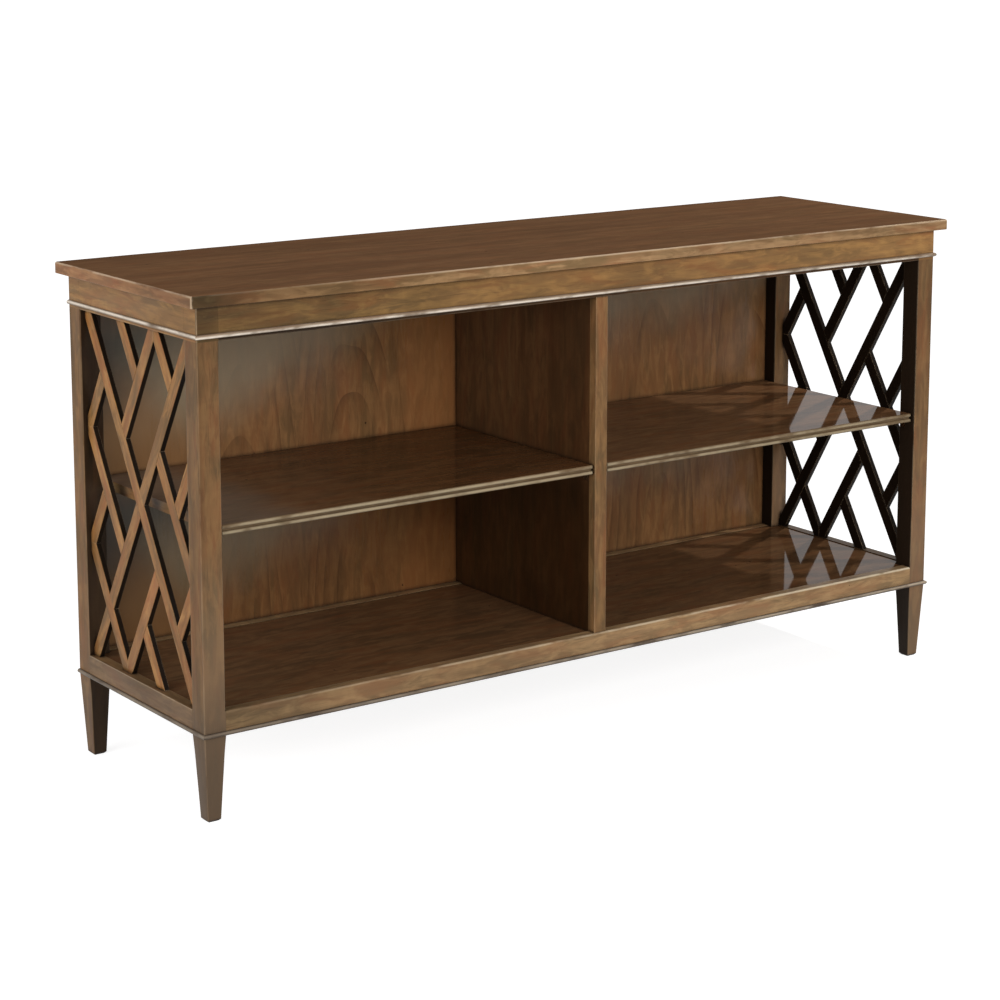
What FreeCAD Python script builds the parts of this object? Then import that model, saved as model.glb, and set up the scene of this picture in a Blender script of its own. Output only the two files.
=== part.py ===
import FreeCAD, Part
import math
import os

# Low two-bay bookcase with open fretwork ends.
# Millimetres. +Z is up, the open front faces -Y, and the origin lies on the floor
# under the middle of the top board.

# Overall size
width = 1575.0
depth = 457.0
height = 831.0

# Top board
top_thickness = 19.0
overhang_side = 17.0
overhang_front = 17.0
overhang_back = 14.0
top_corner_round = 4.0
top_upper_round = 3.0
top_lower_round = 1.5

# Posts and legs
post_size = 38.0
post_round = 2.0
leg_height = 138.5
foot_size = 23.5
foot_chamfer = 3.0

# Aprons under the top and rails under the deck
rail_thickness = 20.0
apron_height = 55.0
bottom_rail_height = 38.5
rail_round = 1.5
front_rail_round = 4.0
tenon_length = 18.0
tenon_thickness = 9.0
tenon_shoulder = 7.0

# Half-round beads round the frame
bead_height = 7.0
bead_projection = 4.0
bead_reveal = 4.5

# Deck and the cleats that carry it
deck_thickness = 16.0
deck_drop = 1.5
deck_clearance = 0.5
cleat_size = 18.0

# Divider between the bays
divider_thickness = 25.0
divider_setback = 3.0
divider_round = 1.5

# Back panels
back_thickness = 6.0
back_recess = 9.0
back_rebate = 10.0
back_clearance = 0.5
back_margin = 12.0

# Loose shelves
shelf_thickness = 16.5
shelf_top_height = 470.0
shelf_setback = 6.0
shelf_end_gap = 3.5
shelf_back_gap = 2.0
shelf_groove = 2.5
shelf_back_round = 1.0

# Shelf pins
pin_radius = 2.5
pin_depth = 9.0
pin_fit = 0.05
pin_end_clearance = 0.5
pin_front_inset = 28.0
pin_back_inset = 23.5
spoon_length = 10.0
spoon_width = 11.0
spoon_thickness = 2.0
spoon_drop = 12.0

# Blocks and screws that hold the top board
block_length = 45.0
block_size = 20.0
block_place_shares = (-0.36, -0.15, 0.15, 0.36)
screw_radius = 2.0
screw_head_radius = 4.0
screw_head_height = 2.4
screw_bite = 12.0
screw_fit = 0.05

# Screws that hold the back panels
back_screw_radius = 1.5
back_screw_head_radius = 3.2
back_screw_head_height = 1.6
back_screw_length = 16.0
back_screw_place_shares = (0.06, 0.28, 0.5, 0.72, 0.94)

# Fretwork ends
bar_width = 22.5
bar_thickness = 9.5
bar_recess = 9.5
bar_chamfer = 0.8
lattice_over_height = 3.0
lattice_inside_width = 3.25

# Overrun of cutting solids
overrun = 5.0

# Planes that the pieces share
frame_left = -width / 2 + overhang_side
frame_right = width / 2 - overhang_side
frame_front = -depth / 2 + overhang_front
frame_back = depth / 2 - overhang_back
frame_top = height - top_thickness
post_in_left = frame_left + post_size
post_in_right = frame_right - post_size
post_in_front = frame_front + post_size
post_in_back = frame_back - post_size
apron_base = frame_top - apron_height
bottom_rail_top = leg_height + bottom_rail_height
front_rail_back = frame_front + rail_thickness
back_panel_front = frame_back - back_recess
back_rail_front = back_panel_front - rail_thickness
deck_top = bottom_rail_top - deck_drop
deck_base = deck_top - deck_thickness
shelf_base = shelf_top_height - shelf_thickness
divider_half = divider_thickness / 2
pin_rows = (frame_front + pin_front_inset, frame_back - pin_back_inset)

os.makedirs("parts", exist_ok=True)


def save(name, shape):
    """Write one piece, or one group of like pieces, under its node name."""
    if not shape.isValid():
        raise ValueError("invalid solid: " + name)
    shape.exportStep("parts/" + name + ".step")
    print(name, len(shape.Solids), round(shape.Volume))


def block(low, high):
    """Box between two corners."""
    size = [b - a for a, b in zip(low, high)]
    return Part.makeBox(size[0], size[1], size[2], FreeCAD.Vector(*low))


def prism(points, along):
    """Solid swept from a closed outline of straight edges along a vector."""
    corners = [FreeCAD.Vector(*p) for p in points]
    wire = Part.makePolygon(corners + corners[:1])
    return Part.Face(wire).extrude(FreeCAD.Vector(*along))


def mirrored(shape):
    """The same piece on the other side of the middle plane."""
    return shape.mirror(FreeCAD.Vector(0, 0, 0), FreeCAD.Vector(1, 0, 0))


def edges_where(shape, test):
    """Edges whose two ends both pass a test."""
    found = []
    for edge in shape.Edges:
        if len(edge.Vertexes) == 2 and all(test(v.Point) for v in edge.Vertexes):
            found.append(edge)
    return found


def near(a, b):
    """True where two places agree to within rounding."""
    return abs(a - b) < width * 1e-9


def upright_edges(shape):
    """Edges that run straight up."""
    return [e for e in shape.Edges
            if near(e.Vertexes[0].X, e.Vertexes[-1].X)
            and near(e.Vertexes[0].Y, e.Vertexes[-1].Y)]


def compound(pieces):
    return Part.makeCompound(pieces)


# Top board

def top_panel():
    """Plain board with its corners and arrises eased, and pilot holes for the top screws."""
    low = (-width / 2, -depth / 2, frame_top)
    high = (width / 2, depth / 2, height)
    board = block(low, high)
    board = board.makeFillet(top_corner_round, upright_edges(board))
    board = board.makeFillet(top_upper_round, edges_where(board, lambda p: near(p.z, height)))
    board = board.makeFillet(top_lower_round, edges_where(board, lambda p: near(p.z, frame_top)))
    for x, y in top_screw_places():
        board = board.cut(Part.makeCylinder(
            screw_radius + screw_fit, screw_bite, FreeCAD.Vector(x, y, frame_top)))
    return board


# Posts

def rounded_square(size, radius, x, y, z):
    """Closed outline of a square with round corners, centred on x and y at one height."""
    half = size / 2
    flat = half - radius
    lift = radius * math.sqrt(0.5)
    edges = []
    for turn in range(4):
        c = round(math.cos(turn * math.pi / 2))
        s = round(math.sin(turn * math.pi / 2))

        def place(u, v):
            return FreeCAD.Vector(x + c * u - s * v, y + s * u + c * v, z)

        edges.append(Part.LineSegment(place(half, -flat), place(half, flat)).toShape())
        edges.append(Part.Arc(place(half, flat),
                              place(flat + lift, flat + lift),
                              place(flat, half)).toShape())
    return Part.Wire(edges)


def post(side, back):
    """Square post with a leg that tapers on all four faces below the bottom bead.

    Args:
        side: -1 for the left post, 1 for the right one.
        back: False for a front post, True for a back one.
    """
    outer = frame_left if side < 0 else frame_right
    inner = outer - side * post_size
    x = (outer + inner) / 2
    front_face = post_in_back if back else frame_front
    y = front_face + post_size / 2
    sole_share = (foot_size - 2 * foot_chamfer) / foot_size
    outlines = [
        rounded_square(foot_size * sole_share, post_round * sole_share, x, y, 0),
        rounded_square(foot_size, post_round, x, y, foot_chamfer),
        rounded_square(post_size, post_round, x, y, leg_height),
        rounded_square(post_size, post_round, x, y, frame_top),
    ]
    body = Part.makeLoft(outlines, True, True)
    body = body.cut(mortise_cutters(side, back))
    row = pin_rows[1] if back else pin_rows[0]
    body = body.cut(pin_hole(inner, -side, row))
    if back:
        body = body.cut(block(
            (min(inner, inner + side * back_rebate) - (overrun if side > 0 else 0),
             back_panel_front,
             leg_height + back_margin),
            (max(inner, inner + side * back_rebate) + (overrun if side < 0 else 0),
             frame_back + overrun,
             frame_top - back_margin)))
    return body


def tenon_heights():
    """Low and high faces of the apron tenons and of the bottom rail tenons."""
    return ((apron_base + tenon_shoulder, frame_top - tenon_shoulder),
            (leg_height + tenon_shoulder, bottom_rail_top - tenon_shoulder))


def mortise_cutters(side, back):
    """The four pockets that take the tenons of the rails meeting in one post."""
    inner = post_in_left if side < 0 else post_in_right
    cheek = (rail_thickness - tenon_thickness) / 2
    if back:
        y_long = back_rail_front + cheek
        y_end = (post_in_back, post_in_back + tenon_length)
    else:
        y_long = frame_front + cheek
        y_end = (post_in_front - tenon_length, post_in_front)
    outer = frame_left if side < 0 else frame_right
    x_end = sorted((outer - side * cheek, outer - side * (cheek + tenon_thickness)))
    x_long = sorted((inner, inner + side * tenon_length))
    pockets = []
    for low, high in tenon_heights():
        pockets.append(block((x_long[0], y_long, low),
                             (x_long[1], y_long + tenon_thickness, high)))
        pockets.append(block((x_end[0], y_end[0], low), (x_end[1], y_end[1], high)))
    return compound(pockets)


# Rails

def long_rail(y, low, high, rounds):
    """Rail that runs from side to side, with a tenon at each end.

    Args:
        y: its front face.
        low: underside.
        high: top.
        rounds: list of (front or back face, height, radius) arrises to round.
    """
    body = block((post_in_left, y, low), (post_in_right, y + rail_thickness, high))
    for face, level, radius in rounds:
        arris = edges_where(body, lambda p: near(p.y, face) and near(p.z, level))
        body = body.makeFillet(radius, arris)
    cheek = (rail_thickness - tenon_thickness) / 2
    return body.fuse(block(
        (post_in_left - tenon_length, y + cheek, low + tenon_shoulder),
        (post_in_right + tenon_length, y + cheek + tenon_thickness, high - tenon_shoulder)))


def end_rail(low, high):
    """Left rail that runs from front to back, with a tenon at each end."""
    body = block((frame_left, post_in_front, low),
                 (frame_left + rail_thickness, post_in_back, high))
    for level in (low, high):
        arris = edges_where(body, lambda p: near(p.x, frame_left) and near(p.z, level))
        body = body.makeFillet(rail_round, arris)
    cheek = (rail_thickness - tenon_thickness) / 2
    return body.fuse(block(
        (frame_left + cheek, post_in_front - tenon_length, low + tenon_shoulder),
        (frame_left + cheek + tenon_thickness, post_in_back + tenon_length,
         high - tenon_shoulder)))


# Beads

def bead_profile(base, axis):
    """Half-round face that stands out of the frame, at the frame's front left corner."""
    def place(out, up):
        if axis == "x":
            return FreeCAD.Vector(frame_left - bead_projection, frame_front - out, base + up)
        return FreeCAD.Vector(frame_left - out, frame_front - bead_projection, base + up)

    back = Part.LineSegment(place(0, bead_height), place(0, 0)).toShape()
    nose = Part.Arc(place(0, 0), place(bead_projection, bead_height / 2),
                    place(0, bead_height)).toShape()
    return Part.Face(Part.Wire([back, nose]))


def mitre(points, base):
    """Upright solid over a plan outline, tall enough for one bead."""
    return prism([(x, y, base - overrun) for x, y in points],
                 (0, 0, bead_height + 2 * overrun))


def front_bead(base):
    """Bead across the front, mitred at both ends."""
    run = frame_right - frame_left + 2 * bead_projection
    bar = bead_profile(base, "x").extrude(FreeCAD.Vector(run, 0, 0))
    plan = [(frame_left, frame_front),
            (frame_right, frame_front),
            (frame_right + bead_projection, frame_front - bead_projection),
            (frame_left - bead_projection, frame_front - bead_projection)]
    return bar.common(mitre(plan, base))


def left_bead(base):
    """Bead along the left end, mitred at the front and square at the back."""
    run = frame_back - frame_front + bead_projection
    bar = bead_profile(base, "y").extrude(FreeCAD.Vector(0, run, 0))
    plan = [(frame_left, frame_front),
            (frame_left, frame_back),
            (frame_left - bead_projection, frame_back),
            (frame_left - bead_projection, frame_front - bead_projection)]
    return bar.common(mitre(plan, base))


# Deck

def deck_panel():
    """Board between the bottom rails, notched round the four posts."""
    gap = deck_clearance
    low_x = frame_left + rail_thickness + gap
    high_x = frame_right - rail_thickness - gap
    low_y = front_rail_back + gap
    high_y = back_rail_front - gap
    board = block((low_x, low_y, deck_base), (high_x, high_y, deck_top))
    for x_range in ((low_x - overrun, post_in_left + gap),
                    (post_in_right - gap, high_x + overrun)):
        for y_range in ((low_y - overrun, post_in_front + gap),
                        (post_in_back - gap, high_y + overrun)):
            board = board.cut(block((x_range[0], y_range[0], deck_base - overrun),
                                    (x_range[1], y_range[1], deck_top + overrun)))
    return board


def deck_cleats():
    """Four strips on the inner faces of the bottom rails, under the deck."""
    low = deck_base - cleat_size
    left_face = frame_left + rail_thickness
    right_face = frame_right - rail_thickness
    return compound([
        block((post_in_left, front_rail_back, low),
              (post_in_right, front_rail_back + cleat_size, deck_base)),
        block((post_in_left, back_rail_front - cleat_size, low),
              (post_in_right, back_rail_front, deck_base)),
        block((left_face, post_in_front, low),
              (left_face + cleat_size, post_in_back, deck_base)),
        block((right_face - cleat_size, post_in_front, low),
              (right_face, post_in_back, deck_base)),
    ])


# Divider

def divider_stile():
    """Upright lipping between the front rail and the apron."""
    body = block((-divider_half, frame_front + divider_setback, bottom_rail_top),
                 (divider_half, front_rail_back, apron_base))
    front = frame_front + divider_setback
    for x in (-divider_half, divider_half):
        arris = edges_where(body, lambda p: near(p.x, x) and near(p.y, front))
        body = body.makeFillet(divider_round, arris)
    return body


def divider_panel():
    """Upright board from the deck to the top, notched round the back rails."""
    body = block((-divider_half, front_rail_back, deck_top),
                 (divider_half, back_panel_front, frame_top))
    body = body.cut(block((-divider_half - overrun, back_rail_front, apron_base),
                          (divider_half + overrun, back_panel_front + overrun,
                           frame_top + overrun)))
    body = body.cut(block((-divider_half - overrun, back_rail_front, deck_top - overrun),
                          (divider_half + overrun, back_panel_front + overrun,
                           bottom_rail_top)))
    for row in pin_rows:
        body = body.cut(pin_hole(-divider_half, -1, row))
        body = body.cut(pin_hole(divider_half, 1, row))
    return body


# Back

def back_screw_places(low_x, high_x):
    """X and Z of the screws of one back panel."""
    levels = ((frame_top + apron_base) / 2, (leg_height + bottom_rail_top) / 2)
    return [(low_x + share * (high_x - low_x), z)
            for share in back_screw_place_shares for z in levels]


def left_back_edges():
    """Low and high X of the left back panel."""
    return (post_in_left - back_rebate + back_clearance, -back_clearance / 2)


def back_screw_cutter(radius, reach, x, z):
    """Cylinder from behind the back panels into the rail."""
    return Part.makeCylinder(radius, reach,
                             FreeCAD.Vector(x, back_panel_front + back_thickness, z),
                             FreeCAD.Vector(0, -1, 0))


def back_panel_left():
    """Thin panel in the rebate of the back post, pierced for its screws."""
    low_x, high_x = left_back_edges()
    low_z = leg_height + back_margin + back_clearance
    high_z = frame_top - back_margin - back_clearance
    body = block((low_x, back_panel_front, low_z),
                 (high_x, back_panel_front + back_thickness, high_z))
    for x, z in back_screw_places(low_x, high_x):
        body = body.cut(back_screw_cutter(back_screw_radius + screw_fit, back_thickness, x, z))
    return body


def back_screws():
    """Round-headed screws through both back panels into the rails."""
    screws = []
    low_x, high_x = left_back_edges()
    for x, z in back_screw_places(low_x, high_x):
        shank = back_screw_cutter(back_screw_radius, back_screw_length, x, z)
        head = Part.makeCylinder(
            back_screw_head_radius, back_screw_head_height,
            FreeCAD.Vector(x, back_panel_front + back_thickness, z),
            FreeCAD.Vector(0, 1, 0))
        screw = shank.fuse(head).removeSplitter()
        screws.extend([screw, mirrored(screw)])
    return compound(screws)


def drilled_for_back(rail):
    """A back rail with the pilot holes of the back screws."""
    low_x, high_x = left_back_edges()
    reach = back_screw_length
    for x, z in back_screw_places(low_x, high_x):
        hole = back_screw_cutter(back_screw_radius + screw_fit, reach, x, z)
        rail = rail.cut(hole).cut(mirrored(hole))
    return rail


# Shelves and pins

def pin_hole(face, out, row):
    """Blind hole in an upright face at x = face, where out points into the bay."""
    return Part.makeCylinder(
        pin_radius + pin_fit, pin_depth + pin_end_clearance,
        FreeCAD.Vector(face, row, shelf_base - spoon_drop / 2),
        FreeCAD.Vector(-out, 0, 0))


def shelf_pin(face, out, row):
    """Spoon pin: a plug in the upright, a flange on it and a flat tongue for the shelf."""
    z = shelf_base - spoon_drop / 2
    plug = Part.makeCylinder(pin_radius, pin_depth, FreeCAD.Vector(face, row, z),
                             FreeCAD.Vector(-out, 0, 0))
    x_flange = sorted((face, face + out * spoon_thickness))
    x_tongue = sorted((face, face + out * spoon_length))
    flange = block((x_flange[0], row - spoon_width / 2, shelf_base - spoon_drop),
                   (x_flange[1], row + spoon_width / 2, shelf_base))
    tongue = block((x_tongue[0], row - spoon_width / 2, shelf_base - spoon_thickness),
                   (x_tongue[1], row + spoon_width / 2, shelf_base))
    return plug.fuse([flange, tongue]).removeSplitter()


def shelf_pins_left():
    """Four pins that carry the left shelf."""
    pins = []
    for row in pin_rows:
        pins.append(shelf_pin(post_in_left, 1, row))
        pins.append(shelf_pin(-divider_half, -1, row))
    return compound(pins)


def shelf_left():
    """Loose board with a front edge of two half-round beads and a groove between them."""
    low_x = post_in_left + shelf_end_gap
    high_x = -divider_half - shelf_end_gap
    front = frame_front + shelf_setback
    back = back_panel_front - shelf_back_gap
    radius = (shelf_thickness - shelf_groove) / 4

    def place(y, z):
        return FreeCAD.Vector(low_x, y, shelf_base + z)

    def nose(z):
        return Part.Arc(place(front + radius, z), place(front, z + radius),
                        place(front + radius, z + 2 * radius)).toShape()

    upper = 2 * radius + shelf_groove
    top = shelf_thickness
    outline = Part.Wire([
        nose(0),
        Part.LineSegment(place(front + radius, 2 * radius), place(front + radius, upper)).toShape(),
        nose(upper),
        Part.LineSegment(place(front + radius, top), place(back - shelf_back_round, top)).toShape(),
        Part.LineSegment(place(back - shelf_back_round, top),
                         place(back, top - shelf_back_round)).toShape(),
        Part.LineSegment(place(back, top - shelf_back_round), place(back, 0)).toShape(),
        Part.LineSegment(place(back, 0), place(front + radius, 0)).toShape(),
    ])
    return Part.Face(outline).extrude(FreeCAD.Vector(high_x - low_x, 0, 0))


# Blocks and screws under the top

def block_places():
    """Low corner in X and Y of each block behind the two aprons."""
    places = []
    for share in block_place_shares:
        x = share * width - block_length / 2
        places.append((x, front_rail_back))
        places.append((x, back_rail_front - block_size))
    return places


def top_screw_places():
    """X and Y of each top screw, at the middle of its block."""
    return [(x + block_length / 2, y + block_size / 2) for x, y in block_places()]


def top_blocks():
    """Glue blocks in the angle of apron and top, each bored for one screw."""
    blocks = []
    for x, y in block_places():
        body = block((x, y, frame_top - block_size),
                     (x + block_length, y + block_size, frame_top))
        axis_x = x + block_length / 2
        axis_y = y + block_size / 2
        bore = Part.makeCylinder(screw_radius + screw_fit, block_size,
                                 FreeCAD.Vector(axis_x, axis_y, frame_top - block_size))
        blocks.append(body.cut(bore))
    return compound(blocks)


def top_screws():
    """Round-headed screws up through the blocks into the top board."""
    screws = []
    for x, y in top_screw_places():
        base = frame_top - block_size
        head = Part.makeCylinder(screw_head_radius, screw_head_height,
                                 FreeCAD.Vector(x, y, base - screw_head_height))
        shank = Part.makeCylinder(screw_radius, block_size + screw_bite,
                                  FreeCAD.Vector(x, y, base))
        screws.append(head.fuse(shank).removeSplitter())
    return compound(screws)


# Fretwork

window_low_y = post_in_front
window_high_y = post_in_back
window_low_z = bottom_rail_top
window_high_z = apron_base
middle_y = (window_low_y + window_high_y) / 2
middle_z = (window_low_z + window_high_z) / 2
pitch_y = (window_high_y - window_low_y - 2 * lattice_inside_width) / 3
pitch_z = (window_high_z - window_low_z + 2 * lattice_over_height) / 3
slope = pitch_z / pitch_y
upright_half = bar_width / 2 * math.sqrt(1 + slope * slope)


def height_above(family, index, y, z):
    """How far a point lies above the centre line of one bar line.

    Rising lines climb towards the back and falling lines drop towards it. Line 0 of
    either family runs through the middle of the window, and each next line is one
    pitch higher.
    """
    lean = slope if family == "rising" else -slope
    return z - (middle_z + lean * (y - middle_y) + index * pitch_z)


def clip(outline, measure):
    """The part of a convex outline where a linear measure isn't negative."""
    kept = []
    for a, b in zip(outline, outline[1:] + outline[:1]):
        at_a = measure(*a)
        at_b = measure(*b)
        if at_a >= 0:
            kept.append(a)
        if (at_a > 0 > at_b) or (at_a < 0 < at_b):
            t = at_a / (at_a - at_b)
            kept.append((a[0] + t * (b[0] - a[0]), a[1] + t * (b[1] - a[1])))
    return kept


def strip(family, index):
    """Face of one bar line, cut to the window between posts and rails."""
    outline = [(window_low_y, window_low_z), (window_high_y, window_low_z),
               (window_high_y, window_high_z), (window_low_y, window_high_z)]
    outline = clip(outline, lambda y, z: upright_half - height_above(family, index, y, z))
    return clip(outline, lambda y, z: upright_half + height_above(family, index, y, z))


def stops_above(family, index):
    """Limit for a bar that stands on the upper edge of another bar."""
    return lambda y, z: height_above(family, index, y, z) - upright_half


def stops_below(family, index):
    """Limit for a bar that hangs from the lower edge of another bar."""
    return lambda y, z: -height_above(family, index, y, z) - upright_half


def mitre_y(steps, sense):
    """Upright mitre where two bars meet at a rail, a number of half pitches from the middle."""
    return lambda y, z: sense * (y - middle_y - steps * pitch_y / 2)


def mitre_z(steps, sense):
    """Level mitre where two bars meet at a post, a number of half pitches from the middle."""
    return lambda y, z: sense * (z - middle_z - steps * pitch_z / 2)


def slab(outline, low_x, high_x):
    """Outline in Y and Z carried along X."""
    return prism([(low_x, y, z) for y, z in outline], (high_x - low_x, 0, 0))


bar_outer = frame_left + bar_recess
bar_inner = bar_outer + bar_thickness
bar_middle = (bar_outer + bar_inner) / 2


def bar_list():
    """Each bar: name, family, line, limits of its two ends, and the lines it is halved with."""
    return [
        ("long_rising", "rising", 0, [], [("falling", 0)]),
        ("long_falling", "falling", 0, [], [("rising", 0), ("rising", -2)]),
        ("upper_rising", "rising", 1, [stops_above("falling", 1)], []),
        ("front_top_rising", "rising", 2, [stops_above("falling", 0), mitre_y(-1, -1)], []),
        ("back_middle_rising", "rising", -1, [stops_above("falling", 0), mitre_z(1, -1)], []),
        ("front_middle_rising", "rising", 1, [stops_below("falling", 0), mitre_z(-1, 1)], []),
        ("back_lower_rising", "rising", -2, [mitre_z(-1, -1), mitre_y(1, 1)], [("falling", 0)]),
        ("lower_rising", "rising", -1, [stops_below("falling", -1)], []),
        ("upper_falling", "falling", 1, [stops_above("rising", 0), mitre_y(-1, 1)], []),
        ("lower_falling", "falling", -1, [stops_below("rising", 0), mitre_y(1, -1)], []),
        ("back_top_falling", "falling", 2, [stops_below("rising", 0), mitre_z(1, 1)], []),
        ("front_middle_falling", "falling", -1, [stops_above("rising", 1)], []),
        ("front_lower_falling", "falling", -2, [stops_above("rising", 0), mitre_z(-1, -1)], []),
        ("back_middle_falling", "falling", 1, [stops_below("rising", -1), mitre_z(-1, 1)], []),
    ]


def lattice_bar(family, index, limits, halvings):
    """One bar of the left end: a strip of one bar line with its ends and laps cut.

    At a lap the outer half is cut from the falling bar and the inner half from the
    rising one.
    """
    outline = strip(family, index)
    for limit in limits:
        outline = clip(outline, limit)
    body = slab(outline, bar_outer, bar_inner)

    def on_long_edge(p):
        off = abs(height_above(family, index, p.y, p.z))
        return abs(off - upright_half) < bar_width * 1e-6

    arrises = [e for e in edges_where(body, on_long_edge)
               if near(e.Vertexes[0].X, e.Vertexes[1].X)]
    body = body.makeChamfer(bar_chamfer, arrises)
    for other_family, other_index in halvings:
        if family == "falling":
            low, high = bar_outer - overrun, bar_middle
        else:
            low, high = bar_middle, bar_inner + overrun
        body = body.cut(slab(strip(other_family, other_index), low, high))
    return body


# Writing the nodes

save("top_panel", top_panel())
for back in (False, True):
    place = "back" if back else "front"
    save("post_" + place + "_left", post(-1, back))
    save("post_" + place + "_right", post(1, back))

save("apron_front", long_rail(frame_front, apron_base, frame_top,
                              [(frame_front, apron_base, rail_round)]))
save("apron_back", drilled_for_back(long_rail(back_rail_front, apron_base, frame_top, [])))
save("apron_left", end_rail(apron_base, frame_top))
save("apron_right", mirrored(end_rail(apron_base, frame_top)))
save("bottom_rail_front", long_rail(frame_front, leg_height, bottom_rail_top,
                                    [(frame_front, bottom_rail_top, front_rail_round)]))
save("bottom_rail_back",
     drilled_for_back(long_rail(back_rail_front, leg_height, bottom_rail_top, [])))
save("bottom_rail_left", end_rail(leg_height, bottom_rail_top))
save("bottom_rail_right", mirrored(end_rail(leg_height, bottom_rail_top)))

for level_name, base in (("top", apron_base + bead_reveal), ("bottom", leg_height)):
    save(level_name + "_bead_front", front_bead(base))
    save(level_name + "_bead_left", left_bead(base))
    save(level_name + "_bead_right", mirrored(left_bead(base)))

save("deck_panel", deck_panel())
save("deck_cleats", deck_cleats())
save("divider_panel", divider_panel())
save("divider_stile", divider_stile())
save("back_panel_left", back_panel_left())
save("back_panel_right", mirrored(back_panel_left()))
save("back_screws", back_screws())
save("shelf_left", shelf_left())
save("shelf_right", mirrored(shelf_left()))
save("shelf_pins_left", shelf_pins_left())
save("shelf_pins_right", mirrored(shelf_pins_left()))
save("top_blocks", top_blocks())
save("top_screws", top_screws())

for bar_name, bar_family, bar_index, bar_limits, bar_halvings in bar_list():
    bar = lattice_bar(bar_family, bar_index, bar_limits, bar_halvings)
    save("lattice_left_" + bar_name, bar)
    save("lattice_right_" + bar_name, mirrored(bar))
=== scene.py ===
"""Finish, light and camera of a low two-bay bookcase with open fretwork ends.

Metres. +Z is up, the open front faces -Y, and the origin lies on the floor under the
middle of the top board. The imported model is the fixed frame: every size and place here
is read from its nodes, and the pieces made here stand where those nodes stand.
"""

import logging
import math
import zlib
from dataclasses import dataclass, field, replace
from enum import Enum, IntEnum

import bmesh
import bpy
import numpy as np
from mathutils import Matrix, Vector


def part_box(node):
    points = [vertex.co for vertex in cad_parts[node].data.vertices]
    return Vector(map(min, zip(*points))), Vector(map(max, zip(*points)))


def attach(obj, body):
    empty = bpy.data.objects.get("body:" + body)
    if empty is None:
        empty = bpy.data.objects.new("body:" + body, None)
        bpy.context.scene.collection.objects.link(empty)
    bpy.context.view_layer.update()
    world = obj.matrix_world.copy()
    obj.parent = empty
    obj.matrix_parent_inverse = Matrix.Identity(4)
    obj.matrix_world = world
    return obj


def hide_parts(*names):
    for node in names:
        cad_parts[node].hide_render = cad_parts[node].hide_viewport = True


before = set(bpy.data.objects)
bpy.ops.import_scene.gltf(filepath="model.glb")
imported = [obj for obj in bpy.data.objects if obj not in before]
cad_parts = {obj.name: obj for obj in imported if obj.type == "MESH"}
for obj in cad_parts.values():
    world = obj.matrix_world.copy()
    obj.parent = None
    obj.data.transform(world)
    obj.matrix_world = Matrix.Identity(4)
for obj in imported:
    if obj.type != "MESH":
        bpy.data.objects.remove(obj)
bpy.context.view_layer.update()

log = logging.getLogger("bookcase")

Colour = tuple[float, float, float, float]
Triple = tuple[float, float, float]
MILLIMETRE = 0.001
CURVE_STEPS = 5  # spans in the curve that eases an arris
SHARP_ANGLE = math.radians(38.0)
BEYOND = 9.0  # metres, further out than any piece reaches
GRAIN_REACH = 7.0  # metres of wood that a piece's grain is drawn from, each way
BLACK: Colour = (0.0, 0.0, 0.0, 1.0)
WHITE: Colour = (1.0, 1.0, 1.0, 1.0)
NOWHERE: Triple = (0.0, 0.0, 0.0)
LEFTWARDS: Triple = (-1.0, 0.0, 0.0)
RIGHTWARDS: Triple = (1.0, 0.0, 0.0)
FORWARDS: Triple = (0.0, -1.0, 0.0)
UPWARDS: Triple = (0.0, 0.0, 1.0)
DOWNWARDS: Triple = (0.0, 0.0, -1.0)


def srgb(red: float, green: float, blue: float) -> Colour:
    """Linear colour of a display colour.

    A display share c is c / 12.92 up to 0.04045, and ((c + 0.055) / 1.055)^2.4 above it.

    Args:
        red: red of the display colour, from 0 to 255.
        green: green of it.
        blue: blue of it.

    Returns:
        Linear red, green and blue, and an alpha of one.
    """
    shares = np.array([red, green, blue]) / 255.0
    linear = np.where(shares <= 0.04045, shares / 12.92, ((shares + 0.055) / 1.055) ** 2.4)
    return (*(float(value) for value in linear), 1.0)


class Side(Enum):
    """Left or right half of the bookcase, as the sign of X."""

    LEFT = -1
    RIGHT = 1

    @property
    def word(self) -> str:
        """The side's name as the nodes spell it."""
        return self.name.lower()


class Place(Enum):
    """Side of the frame that a rail or a bead lies on."""

    FRONT = "front"
    BACK = "back"
    LEFT = "left"
    RIGHT = "right"

    @property
    def at_end(self) -> bool:
        """Whether it lies on the left or right end and runs from front to back."""
        return self in (Place.LEFT, Place.RIGHT)


class Level(Enum):
    """Height at which a rail or a bead runs: under the top board or under the deck."""

    TOP = "top"
    BOTTOM = "bottom"

    def rail(self) -> str:
        """The level's rails as the nodes spell them."""
        return "apron" if self is Level.TOP else "bottom_rail"


class Grain(Enum):
    """Which way the fibres run and which way the broad face spreads, in object axes."""

    LENGTH_ON_TOP = ((1.0, 0.0, 0.0), (0.0, 1.0, 0.0))
    LENGTH_ON_FRONT = ((1.0, 0.0, 0.0), (0.0, 0.0, 1.0))
    DEPTH_ON_END = ((0.0, 1.0, 0.0), (0.0, 0.0, 1.0))
    HEIGHT_ON_FRONT = ((0.0, 0.0, 1.0), (1.0, 0.0, 0.0))
    HEIGHT_ON_END = ((0.0, 0.0, 1.0), (0.0, 1.0, 0.0))

    def turn(self) -> Triple:
        """Rotation that lays the fibres along the pattern's first axis."""
        return grain_turn(*self.value)


def grain_turn(along: Triple, across: Triple) -> Triple:
    """Rotation that takes one direction to the first axis and a second one to the second.

    Args:
        along: unit vector of the fibres.
        across: unit vector at right angles to it, in the broad face.

    Returns:
        Euler angles in radians, for a Mapping node.
    """
    third = Vector(along).cross(Vector(across))
    return tuple(Matrix((along, across, third)).to_euler())


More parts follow.
